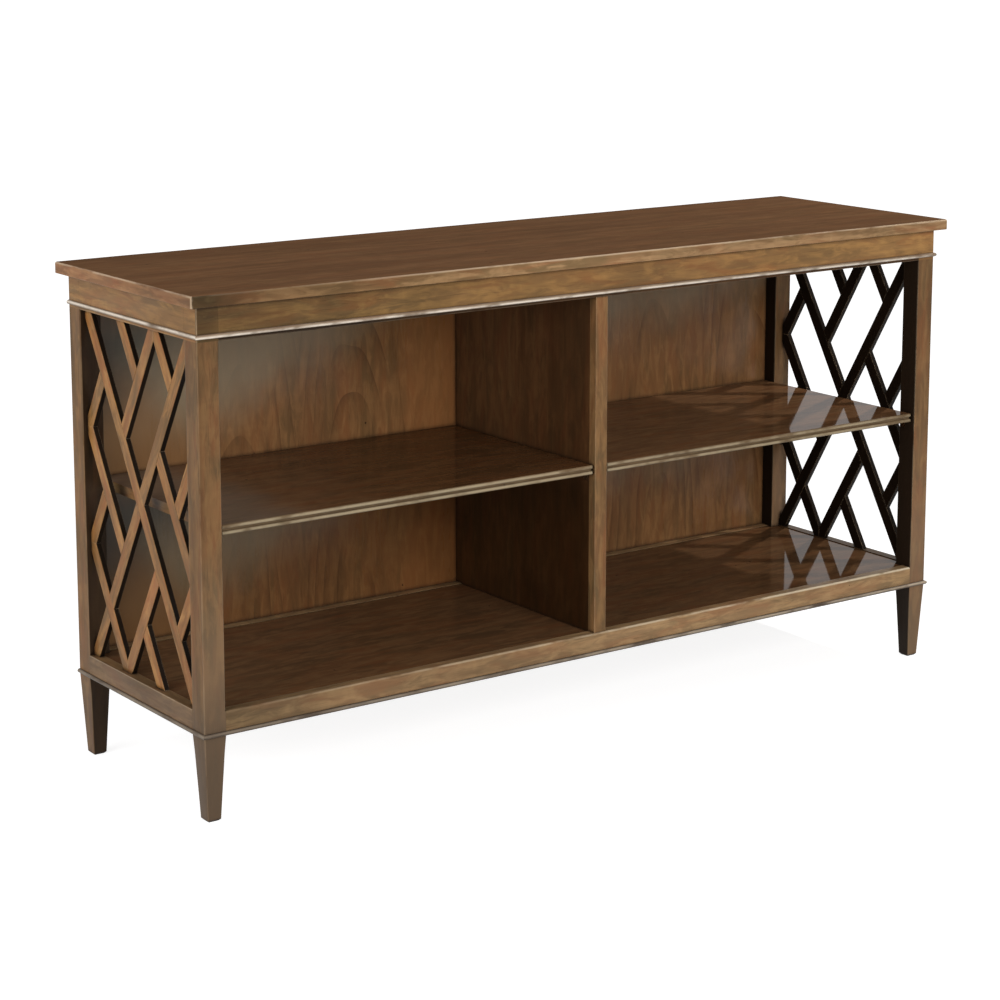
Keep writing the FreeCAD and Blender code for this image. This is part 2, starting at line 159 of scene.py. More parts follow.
class Shader:
    """Short way to place and join nodes in one tree."""

    def __init__(self, tree: bpy.types.NodeTree) -> None:
        """Start on an empty tree."""
        self.tree = tree
        tree.nodes.clear()

    @classmethod
    def in_new(cls, holders: bpy.types.bpy_prop_collection,
               name: str) -> tuple[bpy.types.ID, "Shader"]:
        """Start on the tree of a new material or world.

        Args:
            holders: the file's materials or worlds.
            name: name of the new one.

        Returns:
            The new one, and its tree's shader.
        """
        holder = holders.new(name)
        holder.use_nodes = True
        return holder, cls(holder.node_tree)

    def end(self, closure: bpy.types.NodeSocket, kind: str = "OutputMaterial") -> None:
        """Show a closure as the surface.

        Args:
            closure: output of a shader node.
            kind: type of the output node.
        """
        leave = self.add(kind)
        self.feed(leave.inputs["Surface"], closure)

    def add(self, kind: str, **settings: object) -> bpy.types.Node:
        """Place a node of a kind and set its properties.

        Args:
            kind: type of the node, without the ShaderNode before it.
            settings: values of the node's properties.

        Returns:
            The new node.
        """
        node = self.tree.nodes.new("ShaderNode" + kind)
        for name, value in settings.items():
            setattr(node, name, value)
        return node

    def feed(self, socket: bpy.types.NodeSocket, value: object) -> None:
        """Link a socket to another one, or give it a fixed value.

        Args:
            socket: input socket.
            value: output socket to link from, or the value.
        """
        if isinstance(value, bpy.types.NodeSocket):
            self.tree.links.new(value, socket)
        else:
            socket.default_value = value

    def math(self, operation: str, *values: object, clamp: bool = False) -> bpy.types.NodeSocket:
        """Place one Math node.

        Args:
            operation: Blender's name of the operation.
            values: links or numbers for its inputs, in order.
            clamp: keeps the result from 0 to 1.

        Returns:
            The result.
        """
        node = self.add("Math", operation=operation, use_clamp=clamp)
        for socket, value in zip(node.inputs, values):
            self.feed(socket, value)
        return node.outputs[0]

    def vector(self, operation: str, *values: object) -> bpy.types.NodeSocket:
        """Place one Vector Math node.

        Args:
            operation: Blender's name of the operation.
            values: links or vectors for its inputs, in order.

        Returns:
            The vector, or the number where the operation gives one.
        """
        node = self.add("VectorMath", operation=operation)
        for socket, value in zip(node.inputs, values):
            self.feed(socket, value)
        return node.outputs["Value" if operation in ("DOT_PRODUCT", "LENGTH") else "Vector"]

    def mix(self, share: object, first: object, second: object,
            blend: str = "MIX") -> bpy.types.NodeSocket:
        """Mix two colours.

        Args:
            share: how much of the second colour shows.
            first: colour at a share of 0.
            second: colour at a share of 1.
            blend: Blender's name of the way in which the second lies on the first.

        Returns:
            The mixed colour.
        """
        node = self.add("Mix", data_type="RGBA", blend_type=blend)
        self.feed(node.inputs[0], share)
        self.feed(node.inputs[6], first)
        self.feed(node.inputs[7], second)
        return node.outputs[2]

    def ramp(self, value: object, low: float, high: float, to_low: float = 0.0,
             to_high: float = 1.0) -> bpy.types.NodeSocket:
        """Smooth step of a value between two levels.

        Args:
            value: the value.
            low: level at which the step starts.
            high: level at which it ends; a step down has it below the start.
            to_low: result before the step.
            to_high: result after it.

        Returns:
            The result.
        """
        node = self.add("MapRange", interpolation_type="SMOOTHSTEP")
        for index, number in enumerate((value, low, high, to_low, to_high)):
            self.feed(node.inputs[index], number)
        return node.outputs[0]

    def noise(self, vector: object, stretch: Triple, detail: float = 2.0,
              roughness: float = 0.5, warp: float = 0.0) -> bpy.types.NodeSocket:
        """Cloudy noise.

        Args:
            vector: place.
            stretch: number of cells per metre along each axis.
            detail: number of finer layers.
            roughness: strength of each finer layer.
            warp: how far the pattern is drawn about by itself.

        Returns:
            The noise, from 0 to 1.
        """
        node = self.add("TexNoise")
        self.feed(node.inputs["Vector"], self.vector("MULTIPLY", vector, stretch))
        node.inputs["Scale"].default_value = 1.0
        node.inputs["Detail"].default_value = detail
        node.inputs["Roughness"].default_value = roughness
        node.inputs["Distortion"].default_value = warp
        return node.outputs["Fac"]


@dataclass(frozen=True)
class Cloud:
    """One layer of noise and the levels between which it comes in.

    Its cells are counted per metre along each axis. The other fields are those of the
    noise itself.
    """

    cells: Triple
    low: float
    high: float
    detail: float = 2.0
    roughness: float = 0.5
    warp: float = 0.0

    def lay(self, shader: Shader, place: object) -> bpy.types.NodeSocket:
        """Place the noise and its step in a tree.

        Args:
            shader: the tree.
            place: place in the wood.

        Returns:
            The cloud's share, from 0 to 1.
        """
        noise = shader.noise(place, self.cells, self.detail, self.roughness, self.warp)
        return shader.ramp(noise, self.low, self.high)


@dataclass(frozen=True)
class Socket:
    """One named input or output of a shader group."""

    name: str
    kind: str
    default: object = None


FLOAT = "NodeSocketFloat"
COLOUR = "NodeSocketColor"
VECTOR = "NodeSocketVector"


class ShaderGroup:
    """A named effect that several materials place, each with its own values."""

    title = ""
    inputs: tuple[Socket, ...] = ()
    outputs: tuple[Socket, ...] = ()

    def __init__(self) -> None:
        """Make the group's tree with its sockets and fill it."""
        self.tree = bpy.data.node_groups.new(self.title, "ShaderNodeTree")
        for direction, sockets in (("INPUT", self.inputs), ("OUTPUT", self.outputs)):
            for socket in sockets:
                made = self.tree.interface.new_socket(
                    name=socket.name, in_out=direction, socket_type=socket.kind)
                if socket.default is not None:
                    made.default_value = socket.default
        shader = Shader(self.tree)
        entry = self.tree.nodes.new("NodeGroupInput")
        leave = self.tree.nodes.new("NodeGroupOutput")
        self.fill(shader, entry.outputs, leave.inputs)

    def fill(self, shader: Shader, entry: bpy.types.NodeOutputs,
             leave: bpy.types.NodeInputs) -> None:
        """Place the nodes between the group's inputs and outputs."""
        raise NotImplementedError

    def place(self, shader: Shader, **values: object) -> bpy.types.NodeOutputs:
        """Put the group into a material.

        Args:
            shader: the material's tree.
            values: a value or a link for each input, a space in whose name is written _.

        Returns:
            The group's outputs.
        """
        node = shader.add("Group", node_tree=self.tree)
        for name, value in values.items():
            shader.feed(node.inputs[name.replace("_", " ")], value)
        return node.outputs


class WoodFigure(ShaderGroup):
    """Colour and relief of stained wood, with the fibres along the first axis.

    Broad and fine streaks are noise drawn out along the fibres. Clouds of three sizes let
    the light, reddish and mossy stain take unevenly. The cathedral rings are cuts through
    a leaning cone: the length of (across, lean times along), counted in rings, and folded
    every leaf width.
    """

    title = "wood figure"
    inputs = (
        Socket("Vector", VECTOR),
        Socket("Dark", COLOUR), Socket("Mid", COLOUR), Socket("Light", COLOUR),
        Socket("Blush", COLOUR), Socket("Moss", COLOUR),
        Socket("Streaks", FLOAT, 0.5), Socket("Mottle", FLOAT, 0.5),
        Socket("Cathedral", FLOAT, 0.0), Socket("Pores", FLOAT, 0.5),
    )
    outputs = (Socket("Color", COLOUR), Socket("Height", FLOAT), Socket("Dulling", FLOAT))
    leaf_width = 0.229
    leaf_length = 0.9
    ring_lean = 0.16
    rings_per_metre = 58.0
    ring_sway = 2.2
    ring_sharpness = 3.0
    sway_cells = (3.2, 9.0, 9.0)
    fading = Cloud((5.0, 16.0, 16.0), 0.42, 0.66)
    broad = Cloud((1.3, 19.0, 19.0), 0.36, 0.68, 3.0, 0.55, 0.3)
    fine = Cloud((6.0, 150.0, 150.0), 0.35, 0.70, 4.0, 0.6)
    large = Cloud((5.5, 26.0, 26.0), 0.40, 0.64, 4.0, 0.55, 0.6)
    flush = Cloud((9.0, 33.0, 33.0), 0.44, 0.68, 4.0, 0.55, 0.6)
    small = Cloud((16.0, 68.0, 68.0), 0.40, 0.64, 4.0, 0.6, 0.7)
    curl = Cloud((48.0, 11.0, 11.0), 0.42, 0.62, 2.0, 0.5, 0.5)
    pores = Cloud((26.0, 900.0, 900.0), 0.60, 0.72)
    curl_share = 0.25
    flush_share = 0.8
    fine_share = 0.32
    pore_darkness = 0.55
    fine_relief = -0.5
    pore_relief = -0.8
    dulling = 0.5

    def rings(self, shader: Shader, place: object) -> bpy.types.NodeSocket:
        """Ring lines of flat-sawn veneer.

        Args:
            shader: the group's tree.
            place: place in the wood.

        Returns:
            0 between the lines and 1 on a line.
        """
        split = shader.add("SeparateXYZ")
        shader.feed(split.inputs[0], place)
        along, across = split.outputs[0], split.outputs[1]
        sway = shader.noise(place, self.sway_cells, detail=1.0, roughness=0.45)
        folded = shader.math("PINGPONG", across, self.leaf_width / 2)
        reach = shader.math("MULTIPLY", shader.math("PINGPONG", along, self.leaf_length),
                            self.ring_lean)
        joined = shader.add("CombineXYZ")
        shader.feed(joined.inputs[0], folded)
        shader.feed(joined.inputs[1], reach)
        radius = shader.vector("LENGTH", joined.outputs[0])
        count = shader.math("MULTIPLY", radius, self.rings_per_metre)
        count = shader.math("ADD", count, shader.math("MULTIPLY", sway, self.ring_sway))
        wave = shader.math("POWER", shader.math("FRACT", count), self.ring_sharpness)
        return shader.math("MULTIPLY", wave, self.fading.lay(shader, place))

    def fill(self, shader: Shader, entry: bpy.types.NodeOutputs,
             leave: bpy.types.NodeInputs) -> None:
        """Lay clouds, streaks, rings and pores over each other, from broad to fine.

        Args:
            shader: the group's tree.
            entry: the group's inputs.
            leave: the group's outputs.
        """
        place = entry["Vector"]
        clouds = (self.broad, self.fine, self.large, self.flush, self.small, self.curl,
                  self.pores)
        broad, fine, large, flush, small, curl, pores = (
            cloud.lay(shader, place) for cloud in clouds)
        curled = shader.math("MULTIPLY_ADD", curl, self.curl_share, 1.0 - self.curl_share)
        small = shader.math("MULTIPLY", small, curled)
        mottle, streaks = entry["Mottle"], entry["Streaks"]
        flushing = shader.math("MULTIPLY", mottle, self.flush_share)
        lining = shader.math("MULTIPLY", streaks, self.fine_share)
        deep = shader.mix(self.pore_darkness, entry["Dark"], BLACK)
        layers = (
            (large, mottle, entry["Moss"]),
            (flush, flushing, entry["Blush"]),
            (small, mottle, entry["Light"]),
            (broad, streaks, entry["Dark"]),
            (fine, lining, entry["Dark"]),
            (self.rings(shader, place), entry["Cathedral"], entry["Dark"]),
            (pores, entry["Pores"], deep),
        )
        colour = entry["Mid"]
        for share, strength, over in layers:
            colour = shader.mix(shader.math("MULTIPLY", share, strength), colour, over)
        shader.feed(leave["Color"], colour)
        relief = shader.math("ADD", shader.math("MULTIPLY", fine, self.fine_relief),
                             shader.math("MULTIPLY", pores, self.pore_relief))
        shader.feed(leave["Height"], relief)
        shader.feed(leave["Dulling"], shader.math(
            "MULTIPLY_ADD", fine, self.dulling, shader.math("MULTIPLY", pores, self.dulling)))


class StainShift(ShaderGroup):
    """A stain that grows deeper towards one end of a piece, where it lay on longer; also used
    for painted shade and light.

    The share is a smooth step of the distance along a direction. Body is how far the
    stain hides the figure under it: at 0 the two colours are multiplied. Given a side,
    it lies on the faces to that side alone.
    """

    title = "stain shift"
    inputs = (
        Socket("Color", COLOUR), Socket("Vector", VECTOR), Socket("Toward", VECTOR),
        Socket("Start", FLOAT, 0.0), Socket("End", FLOAT, 1.0), Socket("Share", FLOAT, 0.5),
        Socket("Stain", COLOUR), Socket("Body", FLOAT, 0.0),
        Socket("Side", VECTOR, NOWHERE),
    )
    outputs = (Socket("Color", COLOUR),)
    cloud_cells = (11.0, 11.0, 11.0)
    cloud_share = 0.7

    def fill(self, shader: Shader, entry: bpy.types.NodeOutputs,
             leave: bpy.types.NodeInputs) -> None:
        """Step smoothly along the direction, the step's edge broken up by a cloud.

        Args:
            shader: the group's tree.
            entry: the group's inputs.
            leave: the group's outputs.
        """
        along = shader.vector("DOT_PRODUCT", entry["Vector"], entry["Toward"])
        cloud = shader.noise(entry["Vector"], self.cloud_cells, detail=3.0, roughness=0.6)
        spread = shader.math("SUBTRACT", entry["End"], entry["Start"])
        along = shader.math("MULTIPLY_ADD", shader.math("SUBTRACT", cloud, 0.5),
                            shader.math("MULTIPLY", spread, self.cloud_share), along)
        step = shader.ramp(along, entry["Start"], entry["End"])
        through = shader.mix(1.0, entry["Color"], entry["Stain"], "MULTIPLY")
        stained = shader.mix(entry["Body"], through, entry["Stain"])
        share = shader.math("MULTIPLY", step, entry["Share"])
        facing = shader.vector("DOT_PRODUCT", shader.add("NewGeometry").outputs["Normal"],
                               entry["Side"])
        everywhere = shader.math("SUBTRACT", 1.0, shader.vector("LENGTH", entry["Side"]))
        share = shader.math("MULTIPLY", share, shader.math("MAXIMUM", facing, everywhere),
                            clamp=True)
        shader.feed(leave["Color"], shader.mix(share, entry["Color"], stained))


class RubbedGlaze(ShaderGroup):
    """Dark glaze and painted contact shade in corners, painted shade on turned-away faces,
    pale arrises, and fly specks.

    Corners are found by short-range occlusion, and their darkening is glaze and painted
    shade at once. Arrises are the piece's own arris attribute, or as far as found edges
    count, where the rounded normal turns from the face's: rubbed pale in stretches, worn
    and partly a painted highlight, and dark between them. Specks are the middles of a few
    scattered cells.
    """

    title = "rubbed glaze"
    # Glaze Color also paints the shade; Rubbed Color and Rubbing also paint the arris highlight.
    inputs = (
        Socket("Color", COLOUR), Socket("Vector", VECTOR),
        Socket("Glaze Color", COLOUR), Socket("Rubbed Color", COLOUR),
        Socket("Glaze", FLOAT, 0.6), Socket("Rubbing", FLOAT, 0.4),
        Socket("Specks", FLOAT, 0.5), Socket("Found Edges", FLOAT, 1.0),
        Socket("Shaded Side", VECTOR, NOWHERE), Socket("Shade", FLOAT, 0.0),
        Socket("Shade Start", FLOAT, 0.35), Socket("Shade Full", FLOAT, 0.85),
    )
    outputs = (Socket("Color", COLOUR), Socket("Dulling", FLOAT))
    corner_reach = 9.0 * MILLIMETRE
    corner_samples = 6
    arris_width = 1.8 * MILLIMETRE
    arris_samples = 4
    patch_cells = (14.0, 26.0, 26.0)
    patch_share = 0.6
    specks_per_metre = 26.0
    speck_size = 0.075
    plain_share = 0.72
    dimming = 0.35
    corner_levels = (0.88, 0.48)
    turning_levels = (0.03, 0.22)
    found_levels = (0.60, 0.92)
    own_levels = (0.30, 0.62)
    pale_levels = (0.30, 0.56)

    def fill(self, shader: Shader, entry: bpy.types.NodeOutputs,
             leave: bpy.types.NodeInputs) -> None:
        """Paint shade on turned faces first, then lay corner glaze and shade, specks, and the
        pale arrises, worn and partly a painted highlight, on top.

        Args:
            shader: the group's tree.
            entry: the group's inputs.
            leave: the group's outputs.
        """
        normal = shader.add("NewGeometry").outputs["Normal"]
        patchy = shader.noise(entry["Vector"], self.patch_cells, detail=3.0, roughness=0.6)

        # Painted shade on the faces turned to the shaded side.
        facing = shader.vector("DOT_PRODUCT", normal, entry["Shaded Side"])
        step = shader.ramp(facing, entry["Shade Start"], entry["Shade Full"])
        shaded = shader.math("MULTIPLY", step, entry["Shade"])
        colour = shader.mix(shaded, entry["Color"], entry["Glaze Color"])

        # Corner darkening: dark glaze and painted contact shade together.
        occlusion = shader.add("AmbientOcclusion", samples=self.corner_samples)
        occlusion.inputs["Distance"].default_value = self.corner_reach
        open_air = occlusion.outputs["AO"]
        closed = shader.ramp(open_air, *self.corner_levels)
        patched = shader.math("MULTIPLY_ADD", patchy, self.patch_share, self.patch_share)
        corner = shader.math("MULTIPLY", closed, patched)
        corner = shader.math("MULTIPLY", corner, entry["Glaze"], clamp=True)
        colour = shader.mix(corner, colour, entry["Glaze Color"])

        cells = shader.add("TexVoronoi", voronoi_dimensions="3D", feature="F1")
        shader.feed(cells.inputs["Vector"], entry["Vector"])
        cells.inputs["Scale"].default_value = self.specks_per_metre
        pick = shader.add("SeparateColor")
        shader.feed(pick.inputs[0], cells.outputs["Color"])
        chosen = shader.math("GREATER_THAN", pick.outputs[0], self.plain_share)
        size = shader.math("MULTIPLY", pick.outputs[1], self.speck_size)
        inside = shader.math("LESS_THAN", cells.outputs["Distance"], size)
        speck = shader.math("MULTIPLY", shader.math("MULTIPLY", chosen, inside),
                            entry["Specks"])
        colour = shader.mix(speck, colour, entry["Glaze Color"])

        # Pale arrises: worn, and partly a painted highlight.
        rounded = shader.add("Bevel", samples=self.arris_samples)
        rounded.inputs["Radius"].default_value = self.arris_width
        turned = shader.vector("DOT_PRODUCT", rounded.outputs["Normal"], normal)
        sharp = shader.ramp(shader.math("SUBTRACT", 1.0, turned), *self.turning_levels)
        sharp = shader.math("MULTIPLY", sharp, shader.ramp(open_air, *self.found_levels))
        own = shader.add("Attribute", attribute_type="GEOMETRY", attribute_name="arris")
        worn = shader.math("MULTIPLY", own.outputs["Fac"],
                           shader.ramp(open_air, *self.own_levels))
        arris = shader.math("MAXIMUM", shader.math("MULTIPLY", sharp, entry["Found Edges"]),
                            worn)
        arris = shader.math("MULTIPLY", arris, entry["Rubbing"], clamp=True)
        dim = shader.mix(self.dimming, colour, entry["Glaze Color"])
        wear = shader.mix(shader.ramp(patchy, *self.pale_levels), dim, entry["Rubbed Color"])
        shader.feed(leave["Color"], shader.mix(arris, colour, wear))
        shader.feed(leave["Dulling"], shader.math("MAXIMUM", corner, shaded))


class Handling(ShaderGroup):
    """Soft smears and dust that vary how sharply a polished face reflects."""

    title = "handling"
    inputs = (Socket("Vector", VECTOR), Socket("Sharp", FLOAT, 0.2), Socket("Soft", FLOAT, 0.4))
    outputs = (Socket("Roughness", FLOAT),)
    smear_cells = (3.0, 11.0, 11.0)
    dust_cells = (60.0, 170.0, 170.0)
    dust_share = 0.25
    soft_levels = (0.42, 0.86)

    def fill(self, shader: Shader, entry: bpy.types.NodeOutputs,
             leave: bpy.types.NodeInputs) -> None:
        """Let smears and dust set the roughness between its sharp and soft values.

        Args:
            shader: the group's tree.
            entry: the group's inputs.
            leave: the group's outputs.
        """
        smears = shader.noise(entry["Vector"], self.smear_cells, detail=3.0, roughness=0.6,
                              warp=0.5)
        dust = shader.noise(entry["Vector"], self.dust_cells)
        share = shader.ramp(shader.math("MULTIPLY_ADD", dust, self.dust_share, smears),
                            *self.soft_levels)
        spread = shader.math("SUBTRACT", entry["Soft"], entry["Sharp"])
        shader.feed(leave["Roughness"], shader.math("MULTIPLY_ADD", share, spread,
                                                    entry["Sharp"]))


@dataclass(frozen=True)
class Stain:
    """One stain that deepens along a direction of the bookcase, in metres from the origin;
    some are painted shade or light.

    Given the lowest and highest level of a bay, heights are measured within each of the
    bays stacked from there, and the stain runs out again below the top of each. Given a
    side, it lies on the faces to that side alone.
    """

    colour: Colour
    toward: Triple
    start: float
    end: float
    share: float
    body: float = 0.0
    bay: tuple[float, float] | None = None
    side: Triple = NOWHERE
    run_out: float = 85.0 * MILLIMETRE

    @classmethod
    def all_over(cls, colour: Colour, share: float = 1.0, body: float = 0.0) -> "Stain":
        """Stain that lies evenly on the whole piece, because it is full below the floor.

        Args:
            colour: the stain's colour.
            share: how strong it is.
            body: how far it hides the figure under it.

        Returns:
            The stain.
        """
        return cls(colour, UPWARDS, start=-2.0, end=-1.0, share=share, body=body)

    def lay(self, shader: Shader, groups: "GroupShelf", colour: object,
            spot: object) -> bpy.types.NodeSocket:
        """Put the stain over a colour.

        Args:
            shader: the material's tree.
            groups: the shared shader groups.
            colour: what lies under the stain.
            spot: place on the bookcase.

        Returns:
            The stained colour.
        """
        share = self.share
        if self.bay:
            low, high = self.bay
            spot = shader.vector("WRAP", spot, (BEYOND, BEYOND, high), (-BEYOND, -BEYOND, low))
            parts = shader.add("SeparateXYZ")
            shader.feed(parts.inputs[0], spot)
            left = shader.ramp(parts.outputs["Z"], high, high - self.run_out)
            share = shader.math("MULTIPLY", left, self.share)
        return groups.stain.place(
            shader, Color=colour, Vector=spot, Toward=self.toward, Start=self.start,
            End=self.end, Share=share, Stain=self.colour, Body=self.body,
            Side=self.side)["Color"]


@dataclass(frozen=True)
class Placement:
    """How a finish lies on one piece.

    The grain's turn, the side of the piece that is painted in shade, with the cosines to
    that side at which the painted shade starts and is full, and the stains that deepen
    along the piece, some of them painted shade or light. The stretch of grain is drawn
    from the piece's name, unless it continues the grain of another piece or is given here.
    """

    turn: Triple
    shaded_side: Triple = NOWHERE
    shade_from: float = 0.35
    shade_full: float = 0.85
    stains: tuple[Stain, ...] = ()
    continues: str = ""
    stretch: Triple | None = None


@dataclass(frozen=True)
class WoodFinish:
    """Stain, glaze and varnish of one kind of wooden piece, with its painted shade and its
    painted arris highlight.
    """

    name: str
    dark: Colour
    mid: Colour
    light: Colour
    blush: Colour
    moss: Colour
    # Colour of the corner glaze and specks, and of the painted shade in corners and on turned
    # faces.
    glaze_colour: Colour = srgb(28, 20, 14)
    # Colour of the pale arrises: wear, and partly a painted highlight.
    rubbed_colour: Colour = srgb(196, 170, 138)
    streaks: float = 0.45
    mottle: float = 0.6
    cathedral: float = 0.0
    pores: float = 0.35
    # Strength of the corner darkening: glaze, and painted contact shade.
    glaze: float = 0.75
    # How pale the arrises get: wear, and partly a painted highlight.
    rubbing: float = 0.35
    specks: float = 0.6
    # Share of painted shade on the faces turned to the placement's shaded side.
    shade: float = 0.0
    sharp: float = 0.28
    soft: float = 0.46
    specular: float = 0.08
    coat: float = 0.06
    coat_roughness: float = 0.2
    relief: float = 0.2
    relief_depth: float = 0.2 * MILLIMETRE
    glaze_dulling: float = 0.3
    figure_dulling: float = 0.08

    def material(self, piece: str, placement: Placement, groups: "GroupShelf",
                 found_edges: float = 0.0) -> bpy.types.Material:
        """Material of this finish for one piece, with its own stretch of grain.

        Args:
            piece: name of the piece, which also picks the stretch of grain.
            placement: how the finish lies on the piece.
            groups: the shared shader groups.
            found_edges: how far the shader looks for sharp edges itself, on a piece
                that has no arris attribute.

        Returns:
            The material.
        """
        material, shader = Shader.in_new(bpy.data.materials, f"{self.name}_{piece}")
        draw = np.random.default_rng(zlib.crc32((placement.continues or piece).encode()))
        mapping = shader.add("Mapping", vector_type="POINT")
        stretch = placement.stretch or tuple(draw.uniform(-GRAIN_REACH, GRAIN_REACH, 3))
        mapping.inputs["Location"].default_value = stretch
        mapping.inputs["Rotation"].default_value = placement.turn
        spot = shader.add("TexCoord").outputs["Object"]
        shader.feed(mapping.inputs["Vector"], spot)
        place = mapping.outputs["Vector"]

        figure = groups.figure.place(
            shader, Vector=place, Dark=self.dark, Mid=self.mid, Light=self.light,
            Blush=self.blush, Moss=self.moss, Streaks=self.streaks, Mottle=self.mottle,
            Cathedral=self.cathedral, Pores=self.pores)
        colour = figure["Color"]
        for stain in placement.stains:
            colour = stain.lay(shader, groups, colour, spot)
        glazed = groups.glaze.place(
            shader, Color=colour, Vector=place, Glaze_Color=self.glaze_colour,
            Rubbed_Color=self.rubbed_colour, Glaze=self.glaze, Rubbing=self.rubbing,
            Specks=self.specks, Found_Edges=found_edges, Shade=self.shade,
            Shaded_Side=placement.shaded_side, Shade_Start=placement.shade_from,
            Shade_Full=placement.shade_full)
        polish = groups.handling.place(shader, Vector=place, Sharp=self.sharp, Soft=self.soft)
        dulling = shader.math(
            "MULTIPLY_ADD", glazed["Dulling"], self.glaze_dulling,
            shader.math("MULTIPLY", figure["Dulling"], self.figure_dulling))

        surface = shader.add("BsdfPrincipled")
        shader.feed(surface.inputs["Base Color"], glazed["Color"])
        shader.feed(surface.inputs["Roughness"],
                    shader.math("ADD", polish["Roughness"], dulling, clamp=True))
        surface.inputs["Specular IOR Level"].default_value = self.specular
        surface.inputs["Coat Weight"].default_value = self.coat
        surface.inputs["Coat Roughness"].default_value = self.coat_roughness
        bump = shader.add("Bump")
        bump.inputs["Strength"].default_value = self.relief
        bump.inputs["Distance"].default_value = self.relief_depth
        shader.feed(bump.inputs["Height"], figure["Height"])
        shader.feed(surface.inputs["Normal"], bump.outputs["Normal"])
        shader.end(surface.outputs["BSDF"])
        return material


# Painted shade, partly the wood's own tone: the front darkens towards the left. On the
# long aprons and the posts beside them, so that the frieze darkens as one.
FRONT_SHADE_AND_TONE = Stain(srgb(164, 170, 172), LEFTWARDS, -0.16, 0.68, 0.9)


@dataclass(frozen=True)
class SteelFinish:
    """Plated steel of pins and screws."""

    name: str
    colour: Colour
    roughness: float
    tarnish_colour: Colour = (0.03, 0.026, 0.022, 1.0)
    tarnish_share: float = 0.45
    tarnish: Cloud = Cloud((420.0, 420.0, 420.0), 0.48, 0.70, 3.0)
    dust: float = 0.2

    def material(self, piece: str, groups: "GroupShelf") -> bpy.types.Material:
        """Material of this finish for one piece.

        Args:
            piece: name of the piece.
            groups: the shared shader groups.

        Returns:
            The material.
        """
        material, shader = Shader.in_new(bpy.data.materials, f"{self.name}_{piece}")
        place = shader.add("TexCoord").outputs["Object"]
        tarnished = shader.mix(self.tarnish_share, self.colour, self.tarnish_colour)
        surface = shader.add("BsdfPrincipled")
        shader.feed(surface.inputs["Base Color"],
                    shader.mix(self.tarnish.lay(shader, place), self.colour, tarnished))
        polish = groups.handling.place(shader, Vector=place, Sharp=self.roughness,
                                       Soft=self.roughness + self.dust)
        shader.feed(surface.inputs["Roughness"], polish["Roughness"])
        surface.inputs["Metallic"].default_value = 1.0
        shader.end(surface.outputs["BSDF"])
        return material


class GroupShelf:
    """The shared shader groups, made once."""

    def __init__(self) -> None:
        """Make each group."""
        self.figure = WoodFigure()
        self.stain = StainShift()
        self.glaze = RubbedGlaze()
        self.handling = Handling()


